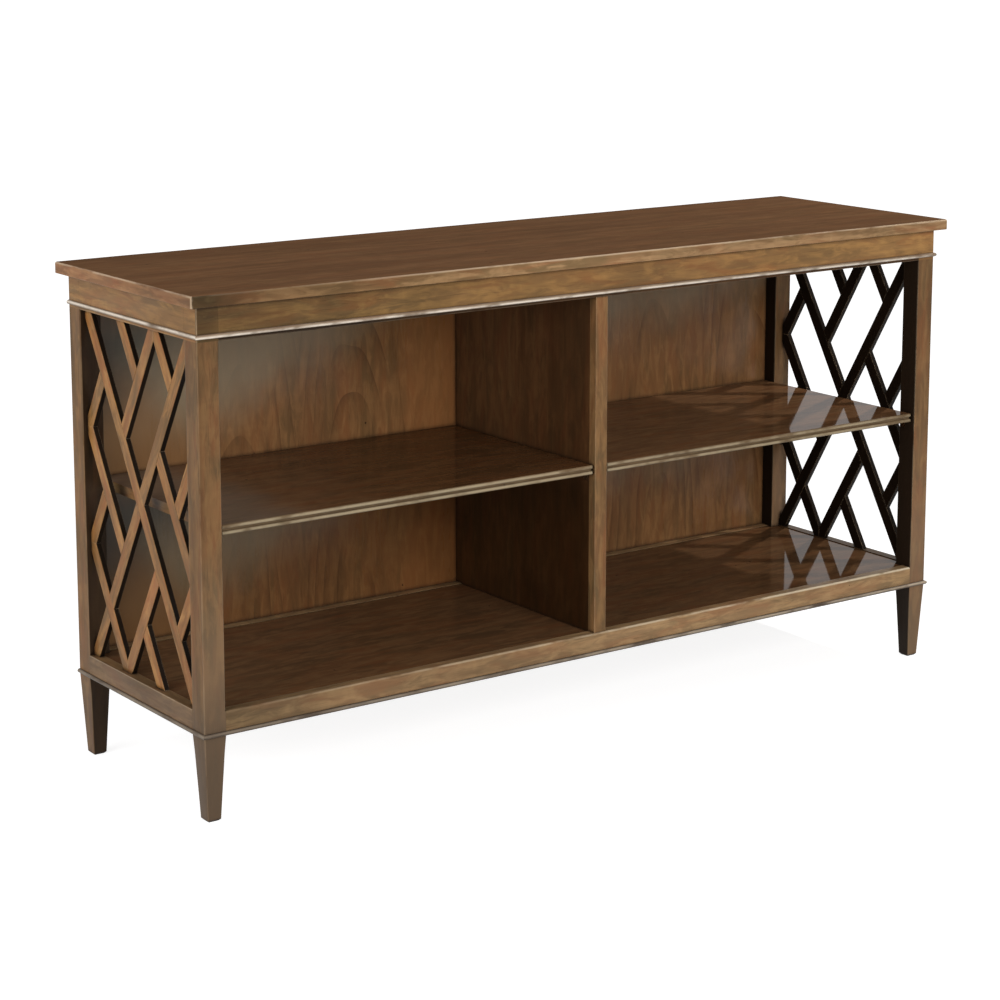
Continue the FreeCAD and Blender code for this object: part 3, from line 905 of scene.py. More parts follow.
@dataclass(frozen=True)
class Finishes:
    """Every finish on the bookcase."""

    top: WoodFinish = WoodFinish(
        "satin_top", dark=srgb(79, 54, 38), mid=srgb(110, 79, 55), light=srgb(126, 92, 63),
        blush=srgb(118, 78, 51), moss=srgb(99, 73, 49), streaks=0.34, mottle=0.5, pores=0.3,
        specks=0.45, rubbing=0.5, specular=0.0, coat=0.015, sharp=0.42, soft=0.58,
        coat_roughness=0.35)
    top_edge: WoodFinish = WoodFinish(
        "golden_edge", dark=srgb(84, 61, 39), mid=srgb(143, 110, 76), light=srgb(182, 146, 105),
        blush=srgb(156, 103, 68), moss=srgb(118, 95, 64), mottle=0.75, glaze=0.95, rubbing=0.55,
        rubbed_colour=srgb(206, 184, 156))
    rail: WoodFinish = WoodFinish(
        "golden_rail", dark=srgb(88, 63, 40), mid=srgb(143, 107, 67), light=srgb(175, 132, 79),
        blush=srgb(150, 97, 56), moss=srgb(116, 90, 57), mottle=0.74, glaze=1.0)
    low_rail: WoodFinish = WoodFinish(
        "umber_rail", dark=srgb(86, 65, 45), mid=srgb(146, 116, 83), light=srgb(182, 147, 104),
        blush=srgb(157, 110, 75), moss=srgb(125, 103, 73), mottle=0.75, glaze=1.0, rubbing=1.0,
        rubbed_colour=srgb(214, 198, 170), shade=0.6)
    # The posts' shade paints their inner faces almost black.
    post: WoodFinish = WoodFinish(
        "post_brown", dark=srgb(70, 50, 32), mid=srgb(111, 82, 53), light=srgb(141, 106, 68),
        blush=srgb(138, 88, 54), moss=srgb(96, 78, 52), streaks=0.42, mottle=0.8, glaze=0.95,
        rubbing=0.14, shade=0.97)
    # The pale crests of both kinds of bead are a painted highlight.
    high_bead: WoodFinish = WoodFinish(
        "rubbed_bead", dark=srgb(88, 70, 54), mid=srgb(138, 117, 97), light=srgb(168, 148, 126),
        blush=srgb(138, 106, 80), moss=srgb(118, 100, 79), glaze=0.35, streaks=0.3,
        specks=0.8, rubbing=1.0, rubbed_colour=srgb(234, 222, 206))
    low_bead: WoodFinish = WoodFinish(
        "dusty_bead", dark=srgb(50, 42, 36), mid=srgb(86, 73, 62), light=srgb(120, 105, 90),
        blush=srgb(90, 70, 54), moss=srgb(74, 67, 57), glaze=0.9, streaks=0.4,
        specks=0.8, rubbing=0.75, rubbed_colour=srgb(190, 174, 152))
    # The bars' turned-away faces are painted in shade, almost black.
    fret: WoodFinish = WoodFinish(
        "fret_brown", dark=srgb(84, 57, 34), mid=srgb(142, 99, 56), light=srgb(178, 130, 76),
        blush=srgb(160, 94, 48), moss=srgb(112, 87, 52), glaze_colour=srgb(16, 12, 9),
        streaks=0.4, mottle=0.8, glaze=0.9, rubbing=0.6, shade=0.98)
    shelf: WoodFinish = WoodFinish(
        "polished_shelf", dark=srgb(74, 51, 34), mid=srgb(108, 77, 52), light=srgb(128, 93, 63),
        blush=srgb(120, 75, 46), moss=srgb(90, 66, 44), streaks=0.12, mottle=0.7, sharp=0.16,
        soft=0.30, specular=0.0, coat=0.42, coat_roughness=0.05, relief=0.05)
    shelf_edge: WoodFinish = WoodFinish(
        "rubbed_nosing", dark=srgb(74, 56, 39), mid=srgb(114, 92, 66), light=srgb(138, 116, 87),
        blush=srgb(120, 89, 61), moss=srgb(100, 84, 61), mottle=0.5, glaze=0.5, rubbing=0.5,
        rubbed_colour=srgb(190, 176, 146))
    deck: WoodFinish = WoodFinish(
        "polished_deck", dark=srgb(66, 45, 30), mid=srgb(95, 67, 44), light=srgb(115, 83, 55),
        blush=srgb(107, 66, 40), moss=srgb(79, 58, 39), streaks=0.12, mottle=0.7, sharp=0.16,
        soft=0.30, specular=0.0, coat=0.42, coat_roughness=0.05, relief=0.05)
    divider: WoodFinish = WoodFinish(
        "divider_brown", dark=srgb(58, 38, 24), mid=srgb(97, 66, 41), light=srgb(118, 83, 52),
        blush=srgb(107, 65, 40), moss=srgb(80, 61, 40), streaks=0.4, mottle=0.65, cathedral=0.2,
        coat=0.2, rubbing=0.0)
    back: WoodFinish = WoodFinish(
        "veneered_back", dark=srgb(74, 50, 31), mid=srgb(117, 81, 50), light=srgb(138, 99, 62),
        blush=srgb(125, 80, 48), moss=srgb(101, 76, 48), streaks=0.24, mottle=0.75,
        cathedral=0.6, sharp=0.24, soft=0.36, coat=0.3, coat_roughness=0.25, rubbing=0.0,
        specks=0.8)
    hidden: WoodFinish = WoodFinish(
        "bare_pine", dark=srgb(128, 96, 62), mid=srgb(176, 142, 98), light=srgb(198, 166, 120),
        blush=srgb(184, 142, 98), moss=srgb(164, 134, 92), streaks=0.6, mottle=0.3, glaze=0.2,
        rubbing=0.0, specks=0.2, coat=0.0, sharp=0.55, soft=0.7)
    pin: SteelFinish = SteelFinish("bronzed_pin", srgb(104, 82, 60), 0.34)
    screw: SteelFinish = SteelFinish("zinc_screw", srgb(172, 170, 164), 0.34)


@dataclass(frozen=True)
class Box:
    """Lowest and highest corner of a node."""

    low: Vector
    high: Vector

    @classmethod
    def of(cls, node: str) -> "Box":
        """Box of one node at rest."""
        return cls(*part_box(node))

    @property
    def size(self) -> Vector:
        """Length along each axis."""
        return self.high - self.low

    def plan(self) -> np.ndarray:
        """Its four corners in X and Y, anticlockwise from the lowest."""
        return rectangle(self.low.x, self.high.x, self.low.y, self.high.y)


def rectangle(first_low: float, first_high: float, second_low: float,
              second_high: float) -> np.ndarray:
    """Corners of a rectangle, anticlockwise from the lowest.

    Args:
        first_low: lowest value along the first axis.
        first_high: highest value along it.
        second_low: lowest value along the second axis.
        second_high: highest value along it.

    Returns:
        4 by 2 corner points.
    """
    return np.array([(first_low, second_low), (first_high, second_low),
                     (first_high, second_high), (first_low, second_high)])


def eased(corners: np.ndarray, ease: np.ndarray | float,
          steps: int = CURVE_STEPS) -> np.ndarray:
    """Closed outline whose corners are replaced by parabolas.

    Each corner P gets the curve (1-t)^2 A + 2t(1-t) P + t^2 B, where A and B lie on the
    two sides at the ease's distance from P, so that the curve leaves along both sides.

    Args:
        corners: n by 2 corner points in order.
        ease: distance from the corner to the curve's ends, one or one per corner.
        steps: number of spans in each curve.

    Returns:
        Points of the outline, steps + 1 for each corner.
    """
    reach = np.broadcast_to(np.asarray(ease, float), (len(corners),))[:, None]
    before = np.roll(corners, 1, axis=0) - corners
    after = np.roll(corners, -1, axis=0) - corners
    start = corners + reach * before / np.linalg.norm(before, axis=1, keepdims=True)
    end = corners + reach * after / np.linalg.norm(after, axis=1, keepdims=True)
    t = np.linspace(0.0, 1.0, steps + 1)[None, :, None]
    curve = ((1 - t) ** 2 * start[:, None] + 2 * t * (1 - t) * corners[:, None]
             + t ** 2 * end[:, None])
    return curve.reshape(-1, 2)


def spaced(outline: np.ndarray, spacing: float) -> np.ndarray:
    """Closed outline with extra points on its long sides.

    Args:
        outline: n by 2 points in order.
        spacing: greatest distance between two points of the result.

    Returns:
        The points of the outline and those between them, in order.
    """
    ahead = np.roll(outline, -1, axis=0) - outline
    counts = np.maximum(1, np.ceil(np.linalg.norm(ahead, axis=1) / spacing).astype(int))
    side = np.repeat(np.arange(len(outline)), counts)
    first = np.cumsum(counts) - counts
    share = (np.arange(len(side)) - first[side]) / counts[side]
    return outline[side] + share[:, None] * ahead[side]


def outward(outline: np.ndarray) -> np.ndarray:
    """Offset at each point of an anticlockwise outline that moves both sides out by one.

    With a and b the outward normals of the sides before and after, it is
    (a + b) / (1 + a . b).

    Args:
        outline: n by 2 points, anticlockwise.

    Returns:
        n by 2 offsets.
    """
    ahead = np.roll(outline, -1, axis=0) - outline
    normal = np.stack([ahead[:, 1], -ahead[:, 0]], axis=1)
    normal /= np.linalg.norm(normal, axis=1, keepdims=True)
    before = np.roll(normal, 1, axis=0)
    along = 1 + np.sum(before * normal, axis=1, keepdims=True)
    return (before + normal) / along


def on_curve(dull: tuple[int, ...] = (), steps: int = CURVE_STEPS) -> np.ndarray:
    """How much each point of an eased square lies on an arris: sin(pi t) on each curve.

    Args:
        dull: corners that aren't worn or highlighted.
        steps: number of spans in each curve.

    Returns:
        From 0 to 1 for each of the 4 (steps + 1) points.
    """
    share = np.tile(np.sin(np.linspace(0.0, math.pi, steps + 1)), (4, 1))
    share[list(dull)] = 0.0
    return share.reshape(-1)


def loft(name: str, rings: np.ndarray, arris: np.ndarray | float = 0.0,
         slots: np.ndarray | int = 0, cap_slots: tuple[int, int] = (0, 0)) -> bpy.types.Object:
    """Closed piece through a stack of rings, capped at both ends by faces without the arris
    mark.

    Args:
        name: name of the piece.
        rings: k by n by 3 points, the same n points in order on each of k rings.
        arris: how far each point lies on a pale arris, worn and partly a painted highlight,
        from 0 to 1.
        slots: material slot of each face between two rings, k - 1 by n.
        cap_slots: material slots of the first and the last cap.

    Returns:
        The piece, with its arris attribute and its normals.
    """
    count, around = rings.shape[:2]
    ring = np.arange(count - 1)[:, None] * around
    here = np.arange(around)[None, :]
    there = (here + 1) % around
    quads = np.stack([ring + here, ring + there, ring + around + there, ring + around + here],
                     axis=2).reshape(-1, 4)
    last = (count - 1) * around
    caps = [list(range(around))[::-1], list(range(last, last + around))]
    mesh = bpy.data.meshes.new(name)
    mesh.from_pydata(rings.reshape(-1, 3), [], quads.tolist() + caps)
    shell = bmesh.new()
    shell.from_mesh(mesh)
    bmesh.ops.recalc_face_normals(shell, faces=shell.faces)
    shell.to_mesh(mesh)
    shell.free()
    point = np.empty(len(mesh.loops), np.int32)
    mesh.loops.foreach_get("vertex_index", point)
    worn = np.broadcast_to(arris, (count, around)).astype(np.float32).reshape(-1)[point]
    worn[-2 * around:] = 0.0
    mesh.attributes.new("arris", "FLOAT", "CORNER").data.foreach_set("value", worn)
    chosen = np.broadcast_to(slots, (count - 1, around)).reshape(-1)
    mesh.polygons.foreach_set("material_index", [*chosen.tolist(), *cap_slots])
    mesh.shade_smooth()
    mesh.set_sharp_from_angle(angle=SHARP_ANGLE)
    piece = bpy.data.objects.new(name, mesh)
    bpy.context.scene.collection.objects.link(piece)
    even = piece.modifiers.new("even_normals", "WEIGHTED_NORMAL")
    even.keep_sharp = True
    return piece


def carried(section: np.ndarray, axis: int, start: np.ndarray | float,
            end: np.ndarray | float) -> np.ndarray:
    """Rings of a section carried straight along one axis.

    Args:
        section: n by 2 points in the two other axes, in the order X, Y, Z.
        axis: axis that it is carried along.
        start: place of the first ring, one or one per point, which makes a mitre.
        end: place of the last ring.

    Returns:
        2 by n by 3 points.
    """
    others = [index for index in range(3) if index != axis]
    rings = np.empty((2, len(section), 3))
    rings[:, :, others] = section
    rings[0, :, axis] = start
    rings[1, :, axis] = end
    return rings


def ripple(places: np.ndarray, name: str, waves: int = 7, finest: float = 60.0) -> np.ndarray:
    """Smooth uneven wear from 0 to 1 along a line, the same on each run.

    It is a sum of sines whose radians per metre and phases are drawn from the name.

    Args:
        places: distances along the line.
        name: what the wear is drawn from.
        waves: number of sines.
        finest: radians per metre of the finest sine.

    Returns:
        The wear at each place.
    """
    draw = np.random.default_rng(zlib.crc32(name.encode()))
    rates = draw.uniform(2.0, finest, waves)
    phases = draw.uniform(0.0, 2 * math.pi, waves)
    total = np.sin(np.multiply.outer(places, rates) + phases).sum(axis=-1)
    return 0.5 + 0.5 * np.tanh(total / math.sqrt(waves))


class Workshop:
    """Dresses each piece and sets it on the frame."""

    def __init__(self, finishes: Finishes) -> None:
        """Make the shared shader groups."""
        self.finishes = finishes
        self.groups = GroupShelf()

    def fit(self, piece: bpy.types.Object, body: str, slot: str, node: str,
            *coats: tuple[WoodFinish, Placement]) -> None:
        """Finish a new piece, ride it on its body and let it stand for its node.

        Args:
            piece: the new piece.
            body: body that it rides on.
            slot: the record's material slot; not used.
            node: node that it stands for.
            coats: the finish in each of its material slots, and how it lies.
        """
        for finish, placement in coats:
            piece.data.materials.append(finish.material(piece.name, placement, self.groups))
        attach(piece, body)
        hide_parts(node)
        log.info("%s stands for %s and rides on %s", piece.name, node, body)

    def dress(self, node: str, finish: WoodFinish | SteelFinish,
              placement: Placement | None = None) -> None:
        """Give a node that keeps its own shape a finish.

        Args:
            node: the node.
            finish: what it gets.
            placement: how a wooden finish lies on it.
        """
        if isinstance(finish, SteelFinish):
            material = finish.material(node, self.groups)
        else:
            material = finish.material(node, placement, self.groups, found_edges=1.0)
        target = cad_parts[node]
        if not target.material_slots:
            target.data.materials.append(material)
        for holder in target.material_slots:
            holder.material = material
        log.info("%s keeps its shape and gets %s", node, finish.name)


class TopCoat(IntEnum):
    """Material slots of the top board."""

    FACE = 0
    EDGE = 1
    END = 2


@dataclass
class TopBoard:
    """The overhanging top board, its arrises worn unevenly by use.

    The paling of the front's upper arris, wear and partly a painted highlight, is weakest
    at the left, and grows from fade_from, a place in X, over the length fade_run.
    """

    corner: float = 4.0 * MILLIMETRE
    upper_round: float = 3.0 * MILLIMETRE
    lower_round: float = 1.5 * MILLIMETRE
    wear_depth: float = 1.2 * MILLIMETRE
    spacing: float = 9.0 * MILLIMETRE
    steps: int = 6
    upper_faces: int = 2
    fade_from: float = -0.70
    fade_run: float = 0.45
    least_wear: float = 0.15

    def build(self) -> bpy.types.Object:
        """Rings from the underside up: an outline set in by a curve that turns each arris.

        At angle a of an arris of radius r the outline lies r (1 - cos a) further in and
        r sin a further up than where the arris starts. Wear lets the upper radius grow.

        Returns:
            The board.
        """
        box = Box.of("top_panel")
        corners = box.plan()
        outline = spaced(eased(corners, self.corner), self.spacing)
        push = outward(outline)
        walk = np.cumsum(np.linalg.norm(outline - np.roll(outline, 1, axis=0), axis=1))
        radius = self.upper_round + self.wear_depth * ripple(walk, "top board") ** 2
        angle = np.linspace(0.0, math.pi / 2, self.steps + 1)[:, None]
        lower_in = self.lower_round * (1 - np.sin(angle)) * np.ones_like(radius)
        lower_up = self.lower_round * (1 - np.cos(angle)) * np.ones_like(radius)
        upper_in = radius * (1 - np.cos(angle))
        upper_up = box.size.z - radius + radius * np.sin(angle)
        inset = np.concatenate([lower_in, upper_in])
        lift = np.concatenate([lower_up, upper_up])
        rings = np.empty((*inset.shape, 3))
        rings[:, :, :2] = outline - inset[:, :, None] * push
        rings[:, :, 2] = box.low.z + lift
        arris = np.concatenate([0 * angle, np.sin(2 * angle).clip(0.0)]) * self.rubbed(outline)
        # The upright corners are paled too, partly as a painted highlight.
        arris = np.maximum(arris, self.cornered(outline, corners))
        edge = np.arange(len(rings) - 1)[:, None] < len(rings) - 1 - self.upper_faces
        ahead = np.abs(np.roll(outline, -1, axis=0) - outline)
        lipping = np.where(ahead[:, 1] > ahead[:, 0], TopCoat.END, TopCoat.EDGE)
        return loft("top_board", rings, arris, np.where(edge, lipping, TopCoat.FACE),
                    (TopCoat.EDGE, TopCoat.FACE))

    def rubbed(self, outline: np.ndarray) -> np.ndarray:
        """How far the upper arris is paled, by wear and partly a painted highlight: less along
        the front towards its left end.

        Args:
            outline: n by 2 points of the board's plan.

        Returns:
            From 0 to 1 for each point.
        """
        fade = np.clip((outline[:, 0] - self.fade_from) / self.fade_run, self.least_wear, 1.0)
        front = outline[:, 1] < outline[:, 1].min() + self.corner / 2
        return np.where(front, fade, 1.0)

    def cornered(self, outline: np.ndarray, corners: np.ndarray) -> np.ndarray:
        """How near each point lies to an upright corner.

        Args:
            outline: n by 2 points of the board's plan.
            corners: its corner points.

        Returns:
            1 within half the corner's curve, falling to 0 at its end.
        """
        away = np.linalg.norm(outline[:, None] - corners[None], axis=2).min(axis=1)
        return np.clip(2.0 - 2.0 * away / self.corner, 0.0, 1.0)

    def make(self, shop: Workshop) -> None:
        """Build and fit the board: its face, its long edges, and its lipped ends.

        Args:
            shop: the workshop.
        """
        corner = Stain(srgb(140, 150, 142), LEFTWARDS, 0.64, 0.77, 0.85)
        # Painted shade, partly the wood's own tone: the front edge darkens towards the left.
        edge_shade_and_tone = Stain(srgb(212, 206, 196), LEFTWARDS, 0.0, 0.50, 0.8)
        end_grain = Stain.all_over(srgb(236, 216, 200))
        finishes = shop.finishes
        shop.fit(self.build(), "carcass", "top_board", "top_panel",
                 (finishes.top, Placement(Grain.LENGTH_ON_TOP.turn())),
                 (finishes.top_edge, Placement(Grain.LENGTH_ON_FRONT.turn(),
                                               stains=(edge_shade_and_tone, corner))),
                 (finishes.top_edge, Placement(Grain.DEPTH_ON_END.turn(),
                                               stains=(end_grain,))))


class PostCoat(IntEnum):
    """Material slots of a post."""

    POST = 0
    SIDE_FRIEZE = 1
    FRONT_FRIEZE = 2
    OUTER_SIDE = 3


@dataclass
class Posts:
    """Four square posts, each with a leg that tapers on all faces to a chamfered foot."""

    foot_share: float = 23.5 / 38.0
    ease: float = 2.0 * MILLIMETRE
    chamfer: float = 3.0 * MILLIMETRE
    spacing: float = 24.0 * MILLIMETRE
    wear: float = 0.5 * MILLIMETRE
    back_rebate: float = 10.0 * MILLIMETRE
    back_margin: float = 12.0 * MILLIMETRE
    least_ease: float = 0.3 * MILLIMETRE
    pair_gap: float = 0.25 * MILLIMETRE
    wear_finest: float = 34.0
    arc_steps: int = 6
    leg_rings: int = 6
    shoulder: float = field(default_factory=lambda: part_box("bottom_rail_front")[0].z)
    rail_top: float = field(default_factory=lambda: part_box("bottom_rail_front")[1].z)
    frieze_foot: float = field(default_factory=lambda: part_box("apron_front")[0].z)
    rebate_face: float = field(default_factory=lambda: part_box("back_panel_left")[0].y)

    def half_size(self, height: np.ndarray, full: float) -> np.ndarray:
        """Half the width: whole above the shoulder, a straight taper below it.

        Args:
            height: heights above the floor.
            full: half the width above the shoulder.

        Returns:
            Half the width at each height.
        """
        foot = full * self.foot_share
        share = np.clip((height - self.chamfer) / (self.shoulder - self.chamfer), 0.0, 1.0)
        sole = np.clip(1 - height / self.chamfer, 0.0, 1.0) * self.chamfer
        return foot + (full - foot) * share - sole

    def heights(self, top: float) -> np.ndarray:
        """Levels of the rings, with a pair where each rail's face begins or ends.

        Args:
            top: height of the post.

        Returns:
            The levels, from the floor up.
        """
        leg = np.linspace(self.chamfer, self.shoulder, self.leg_rings)
        count = int((top - self.shoulder) / self.spacing)
        plain = np.linspace(self.shoulder, top, count)[1:]
        turns = np.array([self.rail_top, self.frieze_foot])
        pairs = (turns[:, None] + self.pair_gap * np.array([-1.0, 1.0])).reshape(-1)
        return np.sort(np.concatenate([[0.0], leg, plain, pairs]))

    def beside_rail(self, levels: np.ndarray) -> np.ndarray:
        """Which levels lie beside a rail, where the post's inner arrises stay square.

        Args:
            levels: heights above the floor.

        Returns:
            True for each level beside a rail.
        """
        beside_low = (levels >= self.shoulder) & (levels < self.rail_top)
        return beside_low | (levels > self.frieze_foot)

    def build(self, side: Side, back: bool) -> bpy.types.Object:
        """Rings of a rounded square, wider or narrower with height.

        A back post's inner back corner steps in between two levels, for the back panel:
        there the corner's curve is folded into the two sides of the rebate. Beside the
        aprons the faces get the aprons' finish, so that the frieze runs to the corner.

        Args:
            side: end of the bookcase that the post stands at.
            back: whether it is a back post.

        Returns:
            The post.
        """
        node = f"post_{'back' if back else 'front'}_{side.word}"
        box = Box.of(node)
        centre = np.array([box.low.x + box.high.x, box.low.y + box.high.y]) / 2
        levels = self.heights(box.high.z)
        if back:
            low = self.shoulder + self.back_margin
            high = box.high.z - self.back_margin
            levels = np.sort(np.concatenate([levels, [low, low, high, high]]))
        half = self.half_size(levels, box.size.x / 2)
        square = rectangle(-1.0, 1.0, -1.0, 1.0)
        outer = np.all(square == (side.value, 1.0 if back else -1.0), axis=1)
        wear = self.wear * ripple(levels, node, finest=self.wear_finest)
        ease = (self.ease + wear) * half / half.max()
        flush = self.beside_rail(levels)[:, None] & ~outer[None, :]
        ease = np.where(flush, self.least_ease, ease[:, None])
        around = self.arc_steps + 1
        unit = eased(square, 1.0, self.arc_steps)
        for_corner = np.repeat(square, around, axis=0)
        rings = np.empty((len(levels), 4 * around, 3))
        rings[:, :, :2] = (centre + half[:, None, None] * for_corner
                           + np.repeat(ease, around, axis=1)[:, :, None] * (unit - for_corner))
        rings[:, :, 2] = levels[:, None]
        if back:
            start = int(np.searchsorted(levels, low)) + 1
            stop = int(np.searchsorted(levels, high)) + 1
            self.rebate(rings[start:stop], side, box)
        arris = on_curve(steps=self.arc_steps) * ~np.repeat(flush, around, axis=1)
        frieze = levels[:-1] > self.frieze_foot
        slots = np.full((len(levels) - 1, 4 * around), PostCoat.POST)
        slots[frieze] = PostCoat.FRONT_FRIEZE
        flat = (3 if side is Side.LEFT else 1) * around + self.arc_steps
        slots[:, flat] = np.where(frieze, PostCoat.SIDE_FRIEZE, PostCoat.OUTER_SIDE)
        return loft(f"leg_{node}", rings, arris, slots)

    def rebate(self, rings: np.ndarray, side: Side, box: Box) -> None:
        """Fold the points of the inner back corner into the sides of the rebate.

        Args:
            rings: the rings beside the back panel, which are changed.
            side: end of the bookcase that the post stands at.
            box: the post's box.
        """
        inner = box.high.x if side is Side.LEFT else box.low.x
        step_x = inner + side.value * self.back_rebate
        edge = np.array([(inner, self.rebate_face), (step_x, self.rebate_face),
                         (step_x, box.high.y)])
        corner = 2 if side is Side.LEFT else 3
        first = corner * (self.arc_steps + 1)
        fold = edge if side is Side.LEFT else edge[::-1]
        share = np.linspace(0.0, 2.0, self.arc_steps + 1)
        for axis in (0, 1):
            rings[:, first:first + self.arc_steps + 1, axis] = np.interp(
                share, (0.0, 1.0, 2.0), fold[:, axis])

    def foot(self, side: Side, back: bool) -> Stain:
        """Stain that darkens a leg towards its foot; on a back leg it is painted shade.

        Args:
            side: end of the bookcase that the post stands at.
            back: whether it is a back post.

        Returns:
            The stain.
        """
        # Painted shade on the back legs.
        if back:
            return Stain(srgb(150, 148, 144), DOWNWARDS, -self.shoulder, -0.06, 0.35)
        share = 0.85 if side is Side.LEFT else 0.15
        return Stain(srgb(100, 84, 67), DOWNWARDS, -0.28, -0.08, share, 0.65)

    def make(self, shop: Workshop) -> None:
        """Build and fit the four posts, their inner faces in painted shade, and their outer side
        faces a little more golden, a painted tint of the light on that side.

        Args:
            shop: the workshop.
        """
        # Painted light: a warmer tint on the outer side faces.
        lit_side_warmth = Stain.all_over(srgb(255, 248, 226))
        head = Stain(srgb(216, 214, 214), (-0.6, 0.0, 0.8), 0.72, 1.02, 0.9)
        dust = Stain(srgb(146, 126, 104), DOWNWARDS, -0.50, -0.20, 0.3, 0.9)
        corner = Stain(srgb(198, 202, 206), LEFTWARDS, 0.70, 0.76, 0.9)
        finishes = shop.finishes
        for side in Side:
            for back in (False, True):
                row = "back" if back else "front"
                foot = self.foot(side, back)
                # Painted shade on each post's inner face; on the back left post also on its
                # front face.
                inner = (-side.value, 0.0, 0.0)
                if back and side is Side.LEFT:
                    inner = (0.8, -0.6, 0.0)
                shop.fit(
                    self.build(side, back), "carcass", "post_wood", f"post_{row}_{side.word}",
                    (finishes.post, Placement(Grain.HEIGHT_ON_FRONT.turn(), inner,
                                              0.2, 0.74, stains=(dust, foot, head))),
                    (finishes.rail, Placement(Grain.DEPTH_ON_END.turn(), inner,
                                              continues=f"apron_rail_{side.word}")),
                    (finishes.rail, Placement(Grain.LENGTH_ON_FRONT.turn(), inner,
                                              stains=(FRONT_SHADE_AND_TONE, corner),
                                              continues=f"apron_rail_{row}")),
                    (finishes.post, Placement(Grain.HEIGHT_ON_END.turn(),
                                              stains=(lit_side_warmth, foot))))


@dataclass
class Rails:
    """Aprons under the top and rails under the deck, between the posts."""

    ease: float = 1.5 * MILLIMETRE
    front_round: float = 4.0 * MILLIMETRE
    least_ease: float = 0.4 * MILLIMETRE
    wear: float = 0.5
    front_wear: tuple[float, float] = (0.05, 1.0)
    left_wear: float = 0.3

    def span(self, at_end: bool) -> tuple[float, float]:
        """Faces of the two posts that a rail runs between.

        Args:
            at_end: whether the rail runs from front to back.

        Returns:
            Place of both faces along the rail.
        """
        if at_end:
            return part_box("post_front_left")[1].y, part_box("post_back_left")[0].y
        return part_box("post_front_left")[1].x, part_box("post_front_right")[0].x

    def worn_share(self, level: Level, place: Place) -> np.ndarray:
        """How far the arrises of a rail are paled at its two ends: worn, and partly a painted
        highlight.

        Args:
            level: height at which the rail runs.
            place: side of the frame that it lies on.

        Returns:
            2 by 1 shares from 0 to 1.
        """
        ends = (self.wear, self.wear)
        if (level, place) == (Level.BOTTOM, Place.FRONT):
            ends = self.front_wear
        if (level, place) == (Level.BOTTOM, Place.LEFT):
            ends = (self.left_wear, self.left_wear)
        return np.array(ends)[:, None]

    def build(self, level: Level, place: Place) -> bpy.types.Object:
        """Section of the rail, its outer arrises eased, carried from post to post.

        Args:
            level: height at which the rail runs.
            place: side of the frame that it lies on.

        Returns:
            The rail.
        """
        box = Box.of(f"{level.rail()}_{place.value}")
        near = box.low.x if place.at_end else box.low.y
        far = box.high.x if place.at_end else box.high.y
        upper = self.ease
        if (level, place) == (Level.BOTTOM, Place.FRONT):
            upper = self.front_round
        ease = np.array([self.ease, self.least_ease, self.least_ease, upper])
        seen_from_far = place in (Place.RIGHT, Place.BACK)
        if seen_from_far:
            ease = ease[[1, 0, 3, 2]]
        start, stop = self.span(place.at_end)
        section = eased(rectangle(near, far, box.low.z, box.high.z), ease)
        dull = {(Level.TOP, True): (0, 2, 3), (Level.TOP, False): (1, 2, 3),
                (Level.BOTTOM, True): (0, 1, 3), (Level.BOTTOM, False): (0, 1, 2)}
        arris = self.worn_share(level, place) * on_curve(dull[level, seen_from_far])
        word = "apron_rail" if level is Level.TOP else "lower_rail"
        return loft(f"{word}_{place.value}",
                    carried(section, 1 if place.at_end else 0, start, stop), arris)

    def make(self, shop: Workshop) -> None:
        """Build and fit the eight rails, the long aprons in painted shade below the level of the
        beads, and the right end's lower rail in painted shade on its top.

        Args:
            shop: the workshop.
        """
        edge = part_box("top_bead_front")[0].z
        # Painted shade on the long aprons below the beads' level.
        under = Stain(srgb(84, 70, 60), DOWNWARDS, -edge - MILLIMETRE, -edge + MILLIMETRE, 0.9)
        duller = Stain.all_over(srgb(206, 201, 197))
        corner = Stain(srgb(206, 208, 208), LEFTWARDS, 0.42, 0.72, 0.9)
        coats = {
            (Level.TOP, False): (shop.finishes.rail, (FRONT_SHADE_AND_TONE, under)),
            (Level.TOP, True): (shop.finishes.rail, ()),
            (Level.BOTTOM, False): (shop.finishes.low_rail, (corner,)),
            (Level.BOTTOM, True): (shop.finishes.low_rail, (duller,)),
        }
        for level in Level:
            for place in Place:
                finish, stains = coats[level, place.at_end]
                grain = Grain.DEPTH_ON_END if place.at_end else Grain.LENGTH_ON_FRONT
                # Painted shade on the top face of the right end's lower rail.
                shaded = UPWARDS if place is Place.RIGHT else NOWHERE
                shop.fit(self.build(level, place), "carcass", "rail_wood",
                         f"{level.rail()}_{place.value}",
                         (finish, Placement(grain.turn(), shaded, stains=stains)))


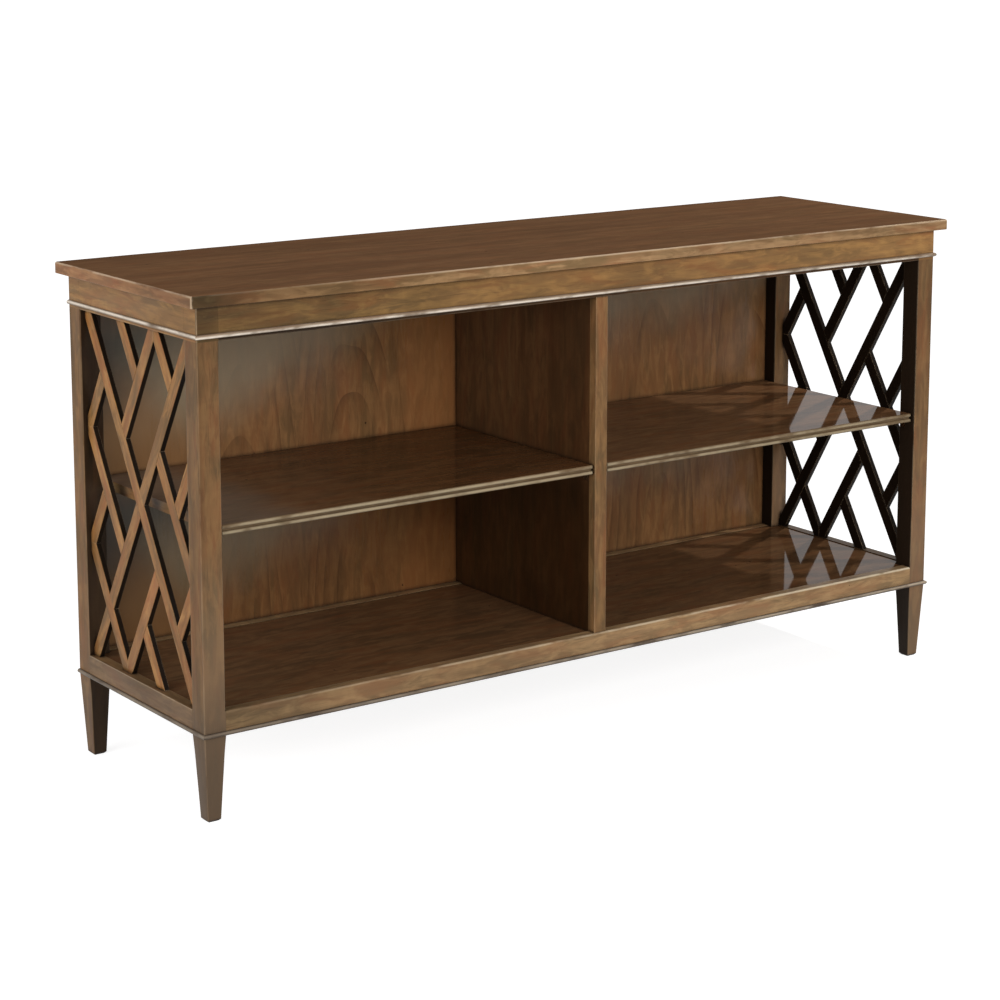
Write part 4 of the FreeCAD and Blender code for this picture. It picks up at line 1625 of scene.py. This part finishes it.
@dataclass
class Beads:
    """Half-round beads round three sides of the frame, mitred at the front corners."""

    arc_steps: int = 12
    crest_width: float = math.radians(34.0)
    upper_crest: float = math.radians(26.0)
    lower_crest: float = math.radians(-24.0)
    low_front_wear: tuple[float, float] = (0.3, 1.0)
    low_left_wear: float = 0.45

    def angles(self) -> np.ndarray:
        """Angles of a section's points above the level, from its lowest point up."""
        return np.linspace(-math.pi / 2, math.pi / 2, self.arc_steps + 1)

    def crest(self, level: Level, place: Place) -> np.ndarray:
        """How far each point is paled at both ends: exp(-(angle from the crest / w)^2).

        The paling is a painted highlight. The side beads and the low ones are paled on their
        upper half, and the high front one on its lower half. The low ones are paled less, most
        of all towards the left.

        Args:
            level: height at which the bead runs.
            place: side of the frame that it lies on.

        Returns:
            2 by n shares from 0 to 1.
        """
        high_front = (level, place) == (Level.TOP, Place.FRONT)
        middle = self.lower_crest if high_front else self.upper_crest
        ends = {(Level.BOTTOM, Place.FRONT): self.low_front_wear,
                (Level.BOTTOM, Place.LEFT): (self.low_left_wear, self.low_left_wear)}
        share = np.array(ends.get((level, place), (1.0, 1.0)))
        return share[:, None] * np.exp(-((self.angles() - middle) / self.crest_width) ** 2)

    def half_round(self, face: float, out: float, low: float, high: float) -> np.ndarray:
        """Section of a bead on an upright face.

        At angle a it lies (height / 2) sin a above its middle and cos a of its projection
        out from the face.

        Args:
            face: place of the face along the axis that the bead stands out on.
            out: how far it stands out, with the direction as its sign.
            low: height of its lower edge.
            high: height of its upper edge.

        Returns:
            n by 2 points.
        """
        angle = self.angles()
        middle, half = (low + high) / 2, (high - low) / 2
        return np.stack([face + out * np.cos(angle), middle + half * np.sin(angle)], axis=1)

    def build(self, level: Level, place: Place) -> bpy.types.Object:
        """Carry the half round along its side, the mitre following how far it stands out.

        Args:
            level: height at which the bead runs.
            place: side of the frame that it lies on.

        Returns:
            The bead.
        """
        box = Box.of(f"{level.value}_bead_{place.value}")
        post = Box.of("post_front_left")
        face_y, face_x = post.low.y, abs(post.low.x)
        if place is Place.FRONT:
            section = self.half_round(face_y, box.low.y - face_y, box.low.z, box.high.z)
            reach = face_x + (face_y - section[:, 0])
            rings = carried(section, 0, -reach, reach)
        else:
            sign = -1.0 if place is Place.LEFT else 1.0
            section = self.half_round(sign * face_x, sign * box.size.x, box.low.z, box.high.z)
            start = face_y - (np.abs(section[:, 0]) - face_x)
            rings = carried(section, 1, start, box.high.y)
        return loft(f"half_round_{level.value}_{place.value}", rings, self.crest(level, place))

    def make(self, shop: Workshop) -> None:
        """Build and fit the six beads.

        Args:
            shop: the workshop.
        """
        finishes = {Level.TOP: shop.finishes.high_bead, Level.BOTTOM: shop.finishes.low_bead}
        for level in Level:
            for place in (Place.FRONT, Place.LEFT, Place.RIGHT):
                grain = Grain.DEPTH_ON_END if place.at_end else Grain.LENGTH_ON_FRONT
                shop.fit(self.build(level, place), "carcass", "bead_wood",
                         f"{level.value}_bead_{place.value}",
                         (finishes[level], Placement(grain.turn())))


class ShelfCoat(IntEnum):
    """Material slots of a shelf."""

    BOARD = 0
    NOSING = 1
    END = 2


@dataclass
class Shelves:
    """Two loose shelves whose front edge is two beads with a groove between them."""

    groove: float = 2.5 * MILLIMETRE
    back_ease: float = 1.0 * MILLIMETRE
    nose_steps: int = 10
    crest_fall: float = 2.2

    def nose_radius(self, box: Box) -> float:
        """Radius of each half round, which share the thickness with the groove."""
        return (box.size.z - self.groove) / 4

    def section(self, box: Box) -> np.ndarray:
        """Outline in Y and Z: two half-round noses at the front, square at the back.

        Args:
            box: the shelf's box.

        Returns:
            n by 2 points, the noses' first.
        """
        radius = self.nose_radius(box)
        angle = np.linspace(-math.pi / 2, -3 * math.pi / 2, self.nose_steps + 1)
        nose = np.stack([box.low.y + radius + radius * np.cos(angle),
                         radius + radius * np.sin(angle)], axis=1)
        lower = nose + (0.0, box.low.z)
        upper = nose + (0.0, box.high.z - 2 * radius)
        ease = self.back_ease
        back = np.array([(box.high.y - ease, box.high.z), (box.high.y, box.high.z - ease),
                         (box.high.y, box.low.z)])
        return np.concatenate([lower, upper, back])

    def build(self, side: Side) -> bpy.types.Object:
        """Carry the section from end to end, its noses paled most where they stand out: worn,
        and partly a painted highlight.

        Args:
            side: bay that the shelf lies in.

        Returns:
            The shelf.
        """
        box = Box.of(f"shelf_{side.word}")
        section = self.section(box)
        depth = (section[:, 0] - box.low.y) / self.nose_radius(box)
        crest = np.clip(1.0 - self.crest_fall * depth, 0.0, 1.0)
        nosed = np.arange(len(section)) < 2 * self.nose_steps
        return loft(f"shelf_board_{side.word}", carried(section, 0, box.low.x, box.high.x),
                    crest, np.where(nosed, ShelfCoat.NOSING, ShelfCoat.BOARD),
                    (ShelfCoat.END, ShelfCoat.END))

    def make(self, shop: Workshop) -> None:
        """Build and fit both shelves, each on its own body, the left one in painted shade
        inwards.

        Args:
            shop: the workshop.
        """
        dusty = Stain(srgb(122, 110, 98), LEFTWARDS, 0.54, 0.66, 0.55, 0.8)
        # Painted shade on the left shelf, deepening towards the divider.
        deeper = Stain(srgb(198, 190, 180), RIGHTWARDS, -0.80, -0.25, 1.0)
        turn = Grain.LENGTH_ON_TOP.turn()
        for side in Side:
            stains = (deeper, dusty) if side is Side.LEFT else (dusty,)
            shop.fit(self.build(side), f"{side.word}_shelf", "shelf_wood",
                     f"shelf_{side.word}",
                     (shop.finishes.shelf, Placement(turn, stains=stains)),
                     (shop.finishes.shelf_edge, Placement(turn)),
                     (shop.finishes.post, Placement(Grain.DEPTH_ON_END.turn())))


@dataclass
class Divider:
    """The upright between the bays and the lipping on its front edge."""

    ease: float = 1.5 * MILLIMETRE
    least_ease: float = 0.3 * MILLIMETRE

    def make(self, shop: Workshop) -> None:
        """Carry the lipping's eased section up, and finish the board behind it.

        Args:
            shop: the workshop.
        """
        box = Box.of("divider_stile")
        ease = np.array([self.ease, self.ease, self.least_ease, self.least_ease])
        rings = carried(eased(box.plan(), ease), 2, box.low.z, box.high.z)
        shop.fit(loft("divider_lipping", rings, on_curve((2, 3))), "carcass",
                 "divider_wood", "divider_stile",
                 (shop.finishes.post, Placement(Grain.HEIGHT_ON_FRONT.turn())))
        deep = Stain(srgb(170, 164, 156), DOWNWARDS, -0.47, -0.40, 0.9)
        front = Stain(srgb(212, 206, 200), FORWARDS, -0.14, 0.16, 0.9)
        shop.dress("divider_panel", shop.finishes.divider,
                   Placement(Grain.HEIGHT_ON_END.turn(), stains=(deep, front)))


@dataclass
class Fretwork:
    """The lattice bars of both ends, which keep the frame's shapes."""

    over_height: float = 3.0 * MILLIMETRE
    inside_width: float = 3.25 * MILLIMETRE
    shade_from: float = -0.75
    shade_full: float = -0.25

    def lean(self) -> float:
        """Angle of the bars above the level, from the window that they fill.

        Returns:
            The angle in radians.
        """
        rise = (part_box("apron_left")[0].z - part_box("bottom_rail_left")[1].z
                + 2 * self.over_height)
        run = (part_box("post_back_left")[0].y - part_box("post_front_left")[1].y
               - 2 * self.inside_width)
        return math.atan2(rise, run)

    def make(self, shop: Workshop) -> None:
        """Finish every bar, its grain along it and all but its outer face in painted shade.

        Args:
            shop: the workshop.
        """
        lean = self.lean()
        for node in sorted(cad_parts):
            if not node.startswith("lattice_"):
                continue
            side = Side.LEFT if node.startswith("lattice_left") else Side.RIGHT
            climb = lean if node.endswith("rising") else -lean
            along = (0.0, math.cos(climb), math.sin(climb))
            across = (0.0, -math.sin(climb), math.cos(climb))
            shop.dress(node, shop.finishes.fret,
                       Placement(grain_turn(along, across), (-side.value, 0.0, 0.0),
                                 self.shade_from, self.shade_full))


@dataclass
class Casework:
    """Deck, back panels and the hidden fixings, which keep the frame's shapes."""

    hidden_nodes: tuple[str, ...] = ("deck_cleats", "top_blocks")
    screw_nodes: tuple[str, ...] = ("back_screws", "top_screws")

    def make(self, shop: Workshop) -> None:
        """Finish each of them, the panels' front paled above by a painted reflection, partly
        fading, and on the left darkened by painted shade towards the top left and below the
        shelf, and lit by painted light beside the divider.

        The last stain on the left, painted shade, counts heights in bays of a metre from the
        shelf's top, so that it deepens towards the shelf from below alone.

        Args:
            shop: the workshop.
        """
        shop.dress("deck_panel", shop.finishes.deck, Placement(Grain.LENGTH_ON_TOP.turn()))
        bay = (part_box("deck_panel")[1].z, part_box("shelf_left")[1].z)
        slant = (-0.39, 0.0, 0.92)
        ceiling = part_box("shelf_left")[0].z
        stains = {
            Side.LEFT: (
                # Painted reflection, partly fading: a pale veil in the upper left of each bay.
                Stain(srgb(150, 136, 110), slant, 0.37, 0.50, 0.8, 0.7, bay),
                Stain(srgb(124, 89, 56), (-0.8, 0.0, -0.6), 0.285, 0.36, 0.75, 0.9, bay),
                # Painted shade towards the top left of each bay.
                Stain(srgb(146, 158, 166), (-0.6, 0.0, 0.8), 0.600, 0.720, 0.9, 0.0, bay),
                # Painted light beside the divider.
                Stain(srgb(154, 99, 55), RIGHTWARDS, -0.18, -0.03, 0.4, 1.0),
                # Painted shade over the whole bay below the shelf.
                Stain(srgb(226, 221, 214), DOWNWARDS, -ceiling, -ceiling + 0.1, 1.0),
                # Painted shade just under the shelf.
                Stain(srgb(146, 136, 124), (0.6, 0.0, 0.8), 0.90, 1.16, 0.9, 0.0,
                      (bay[1], bay[1] + 1.0))),
            Side.RIGHT: (
                # Painted reflection, partly fading: a pale veil at the top of each bay.
                Stain(srgb(154, 139, 114), (-0.1, 0.0, 1.0), 0.24, 0.36, 0.7, 0.7, bay),),
        }
        for side in Side:
            inside = tuple(replace(stain, side=FORWARDS) for stain in stains[side])
            shop.dress(f"back_panel_{side.word}", shop.finishes.back,
                       Placement(Grain.HEIGHT_ON_FRONT.turn(), stains=inside,
                                 stretch=(0.0, 0.0, float(side.value))))
            shop.dress(f"shelf_pins_{side.word}", shop.finishes.pin)
        for node in self.hidden_nodes:
            shop.dress(node, shop.finishes.hidden, Placement(Grain.LENGTH_ON_FRONT.turn()))
        for node in self.screw_nodes:
            shop.dress(node, shop.finishes.screw)


@dataclass(frozen=True)
class Lamp:
    """One soft rectangular lamp, aimed at a point."""

    name: str
    place: Triple
    aim: Triple
    size: tuple[float, float]
    power: float
    beam: float = 180.0
    mirrored: bool = False

    def make(self) -> None:
        """Hang the lamp and turn it to its aim."""
        data = bpy.data.lights.new(self.name, "AREA")
        data.shape = "RECTANGLE"
        data.size, data.size_y = self.size
        data.energy = self.power
        data.spread = math.radians(self.beam)
        lamp = bpy.data.objects.new(self.name, data)
        lamp.location = self.place
        sight = Vector(self.aim) - Vector(self.place)
        lamp.rotation_euler = sight.to_track_quat("-Z", "Y").to_euler()
        lamp.visible_glossy = self.mirrored
        bpy.context.scene.collection.objects.link(lamp)


@dataclass
class Studio:
    """Pale floor, white surroundings, soft lamps and the camera."""

    floor_size: float = 60.0
    floor_colour: Colour = (0.50, 0.50, 0.50, 1.0)
    near_glow: float = 0.82
    near_reach: float = 1.1
    far_reach: float = 3.6
    ambient: float = 0.22
    camera_place: Triple = (-2.5779, -3.5100, 1.4151)
    camera_yaw: float = 0.62216
    camera_pitch: float = 0.17313
    lens: float = 91.377
    shift_y: float = -0.16
    sensor: float = 36.0
    lamps: tuple[Lamp, ...] = (
        Lamp("key", (-0.3, -3.8, 1.7), (0.0, 0.0, 0.45), (2.4, 1.8), 112.0),
        Lamp("left_fill", (-3.2, -0.5, 1.2), (-0.8, 0.0, 0.45), (2.2, 2.2), 54.0),
        Lamp("through_lattice", (2.3, -0.2, 2.1), (0.7, 0.1, 0.4), (0.07, 0.07), 2.7, 60.0),
        Lamp("overhead", (-0.2, 0.2, 3.1), (0.0, 0.0, 0.83), (2.4, 1.6), 18.0),
    )

    def seen_directly(self, shader: Shader) -> bpy.types.NodeSocket:
        """Tell the rays that show the surroundings: camera, mirror-like and see-through ones.

        Args:
            shader: the material's or the world's tree.

        Returns:
            1 for such a ray, and 0 for others.
        """
        path = shader.add("LightPath")
        seen = shader.math("MAXIMUM", path.outputs["Is Camera Ray"],
                           path.outputs["Is Glossy Ray"])
        return shader.math("MAXIMUM", seen, path.outputs["Is Transmission Ray"])

    def make_floor(self) -> None:
        """White floor: it glows for the rays that show it, and darkens under the bookcase.

        The glow grows with the distance from the origin, as the lamps' light on it fades.
        """
        half = self.floor_size / 2
        mesh = bpy.data.meshes.new("floor")
        corners = [(x, y, 0.0) for x, y in rectangle(-half, half, -half, half)]
        mesh.from_pydata(corners, [], [(0, 1, 2, 3)])
        floor = bpy.data.objects.new("floor", mesh)
        bpy.context.scene.collection.objects.link(floor)
        material, shader = Shader.in_new(bpy.data.materials, "pale_floor")
        matt = shader.add("BsdfDiffuse")
        matt.inputs["Color"].default_value = self.floor_colour
        glow = shader.add("Emission")
        away = shader.vector("LENGTH", shader.add("TexCoord").outputs["Object"])
        share = shader.ramp(away, self.near_reach, self.far_reach, self.near_glow, 1.0)
        shader.feed(glow.inputs["Strength"],
                    shader.math("MULTIPLY", self.seen_directly(shader), share))
        both = shader.add("AddShader")
        shader.feed(both.inputs[0], matt.outputs[0])
        shader.feed(both.inputs[1], glow.outputs[0])
        shader.end(both.outputs[0])
        mesh.materials.append(material)

    def make_world(self) -> None:
        """White where it is seen, and a weak even light on matt surfaces."""
        world, shader = Shader.in_new(bpy.data.worlds, "studio")
        bpy.context.scene.world = world
        background = shader.add("Background")
        seen = self.seen_directly(shader)
        shader.feed(background.inputs["Strength"],
                    shader.math("MULTIPLY_ADD", seen, 1.0 - self.ambient, self.ambient))
        background.inputs["Color"].default_value = WHITE
        shader.end(background.outputs[0], "OutputWorld")

    def make_camera(self) -> None:
        """Camera at the front left, looking a little down."""
        data = bpy.data.cameras.new("camera")
        data.lens = self.lens
        data.shift_y = self.shift_y
        data.sensor_width = self.sensor
        camera = bpy.data.objects.new("camera", data)
        camera.location = self.camera_place
        camera.rotation_euler = (math.pi / 2 - self.camera_pitch, 0.0, -self.camera_yaw)
        bpy.context.scene.collection.objects.link(camera)
        bpy.context.scene.camera = camera

    def make(self) -> None:
        """Set up the whole studio."""
        self.make_floor()
        self.make_world()
        self.make_camera()
        for lamp in self.lamps:
            lamp.make()
        bpy.context.scene.view_settings.view_transform = "Standard"


def main() -> None:
    """Build the bookcase's pieces, dress the rest, and set up the studio."""
    logging.basicConfig(level=logging.INFO, format="%(name)s: %(message)s")
    shop = Workshop(Finishes())
    for assembly in (TopBoard(), Posts(), Rails(), Beads(), Shelves(), Divider(),
                     Fretwork(), Casework()):
        assembly.make(shop)
    Studio().make()


if __name__ == "__main__":
    main()
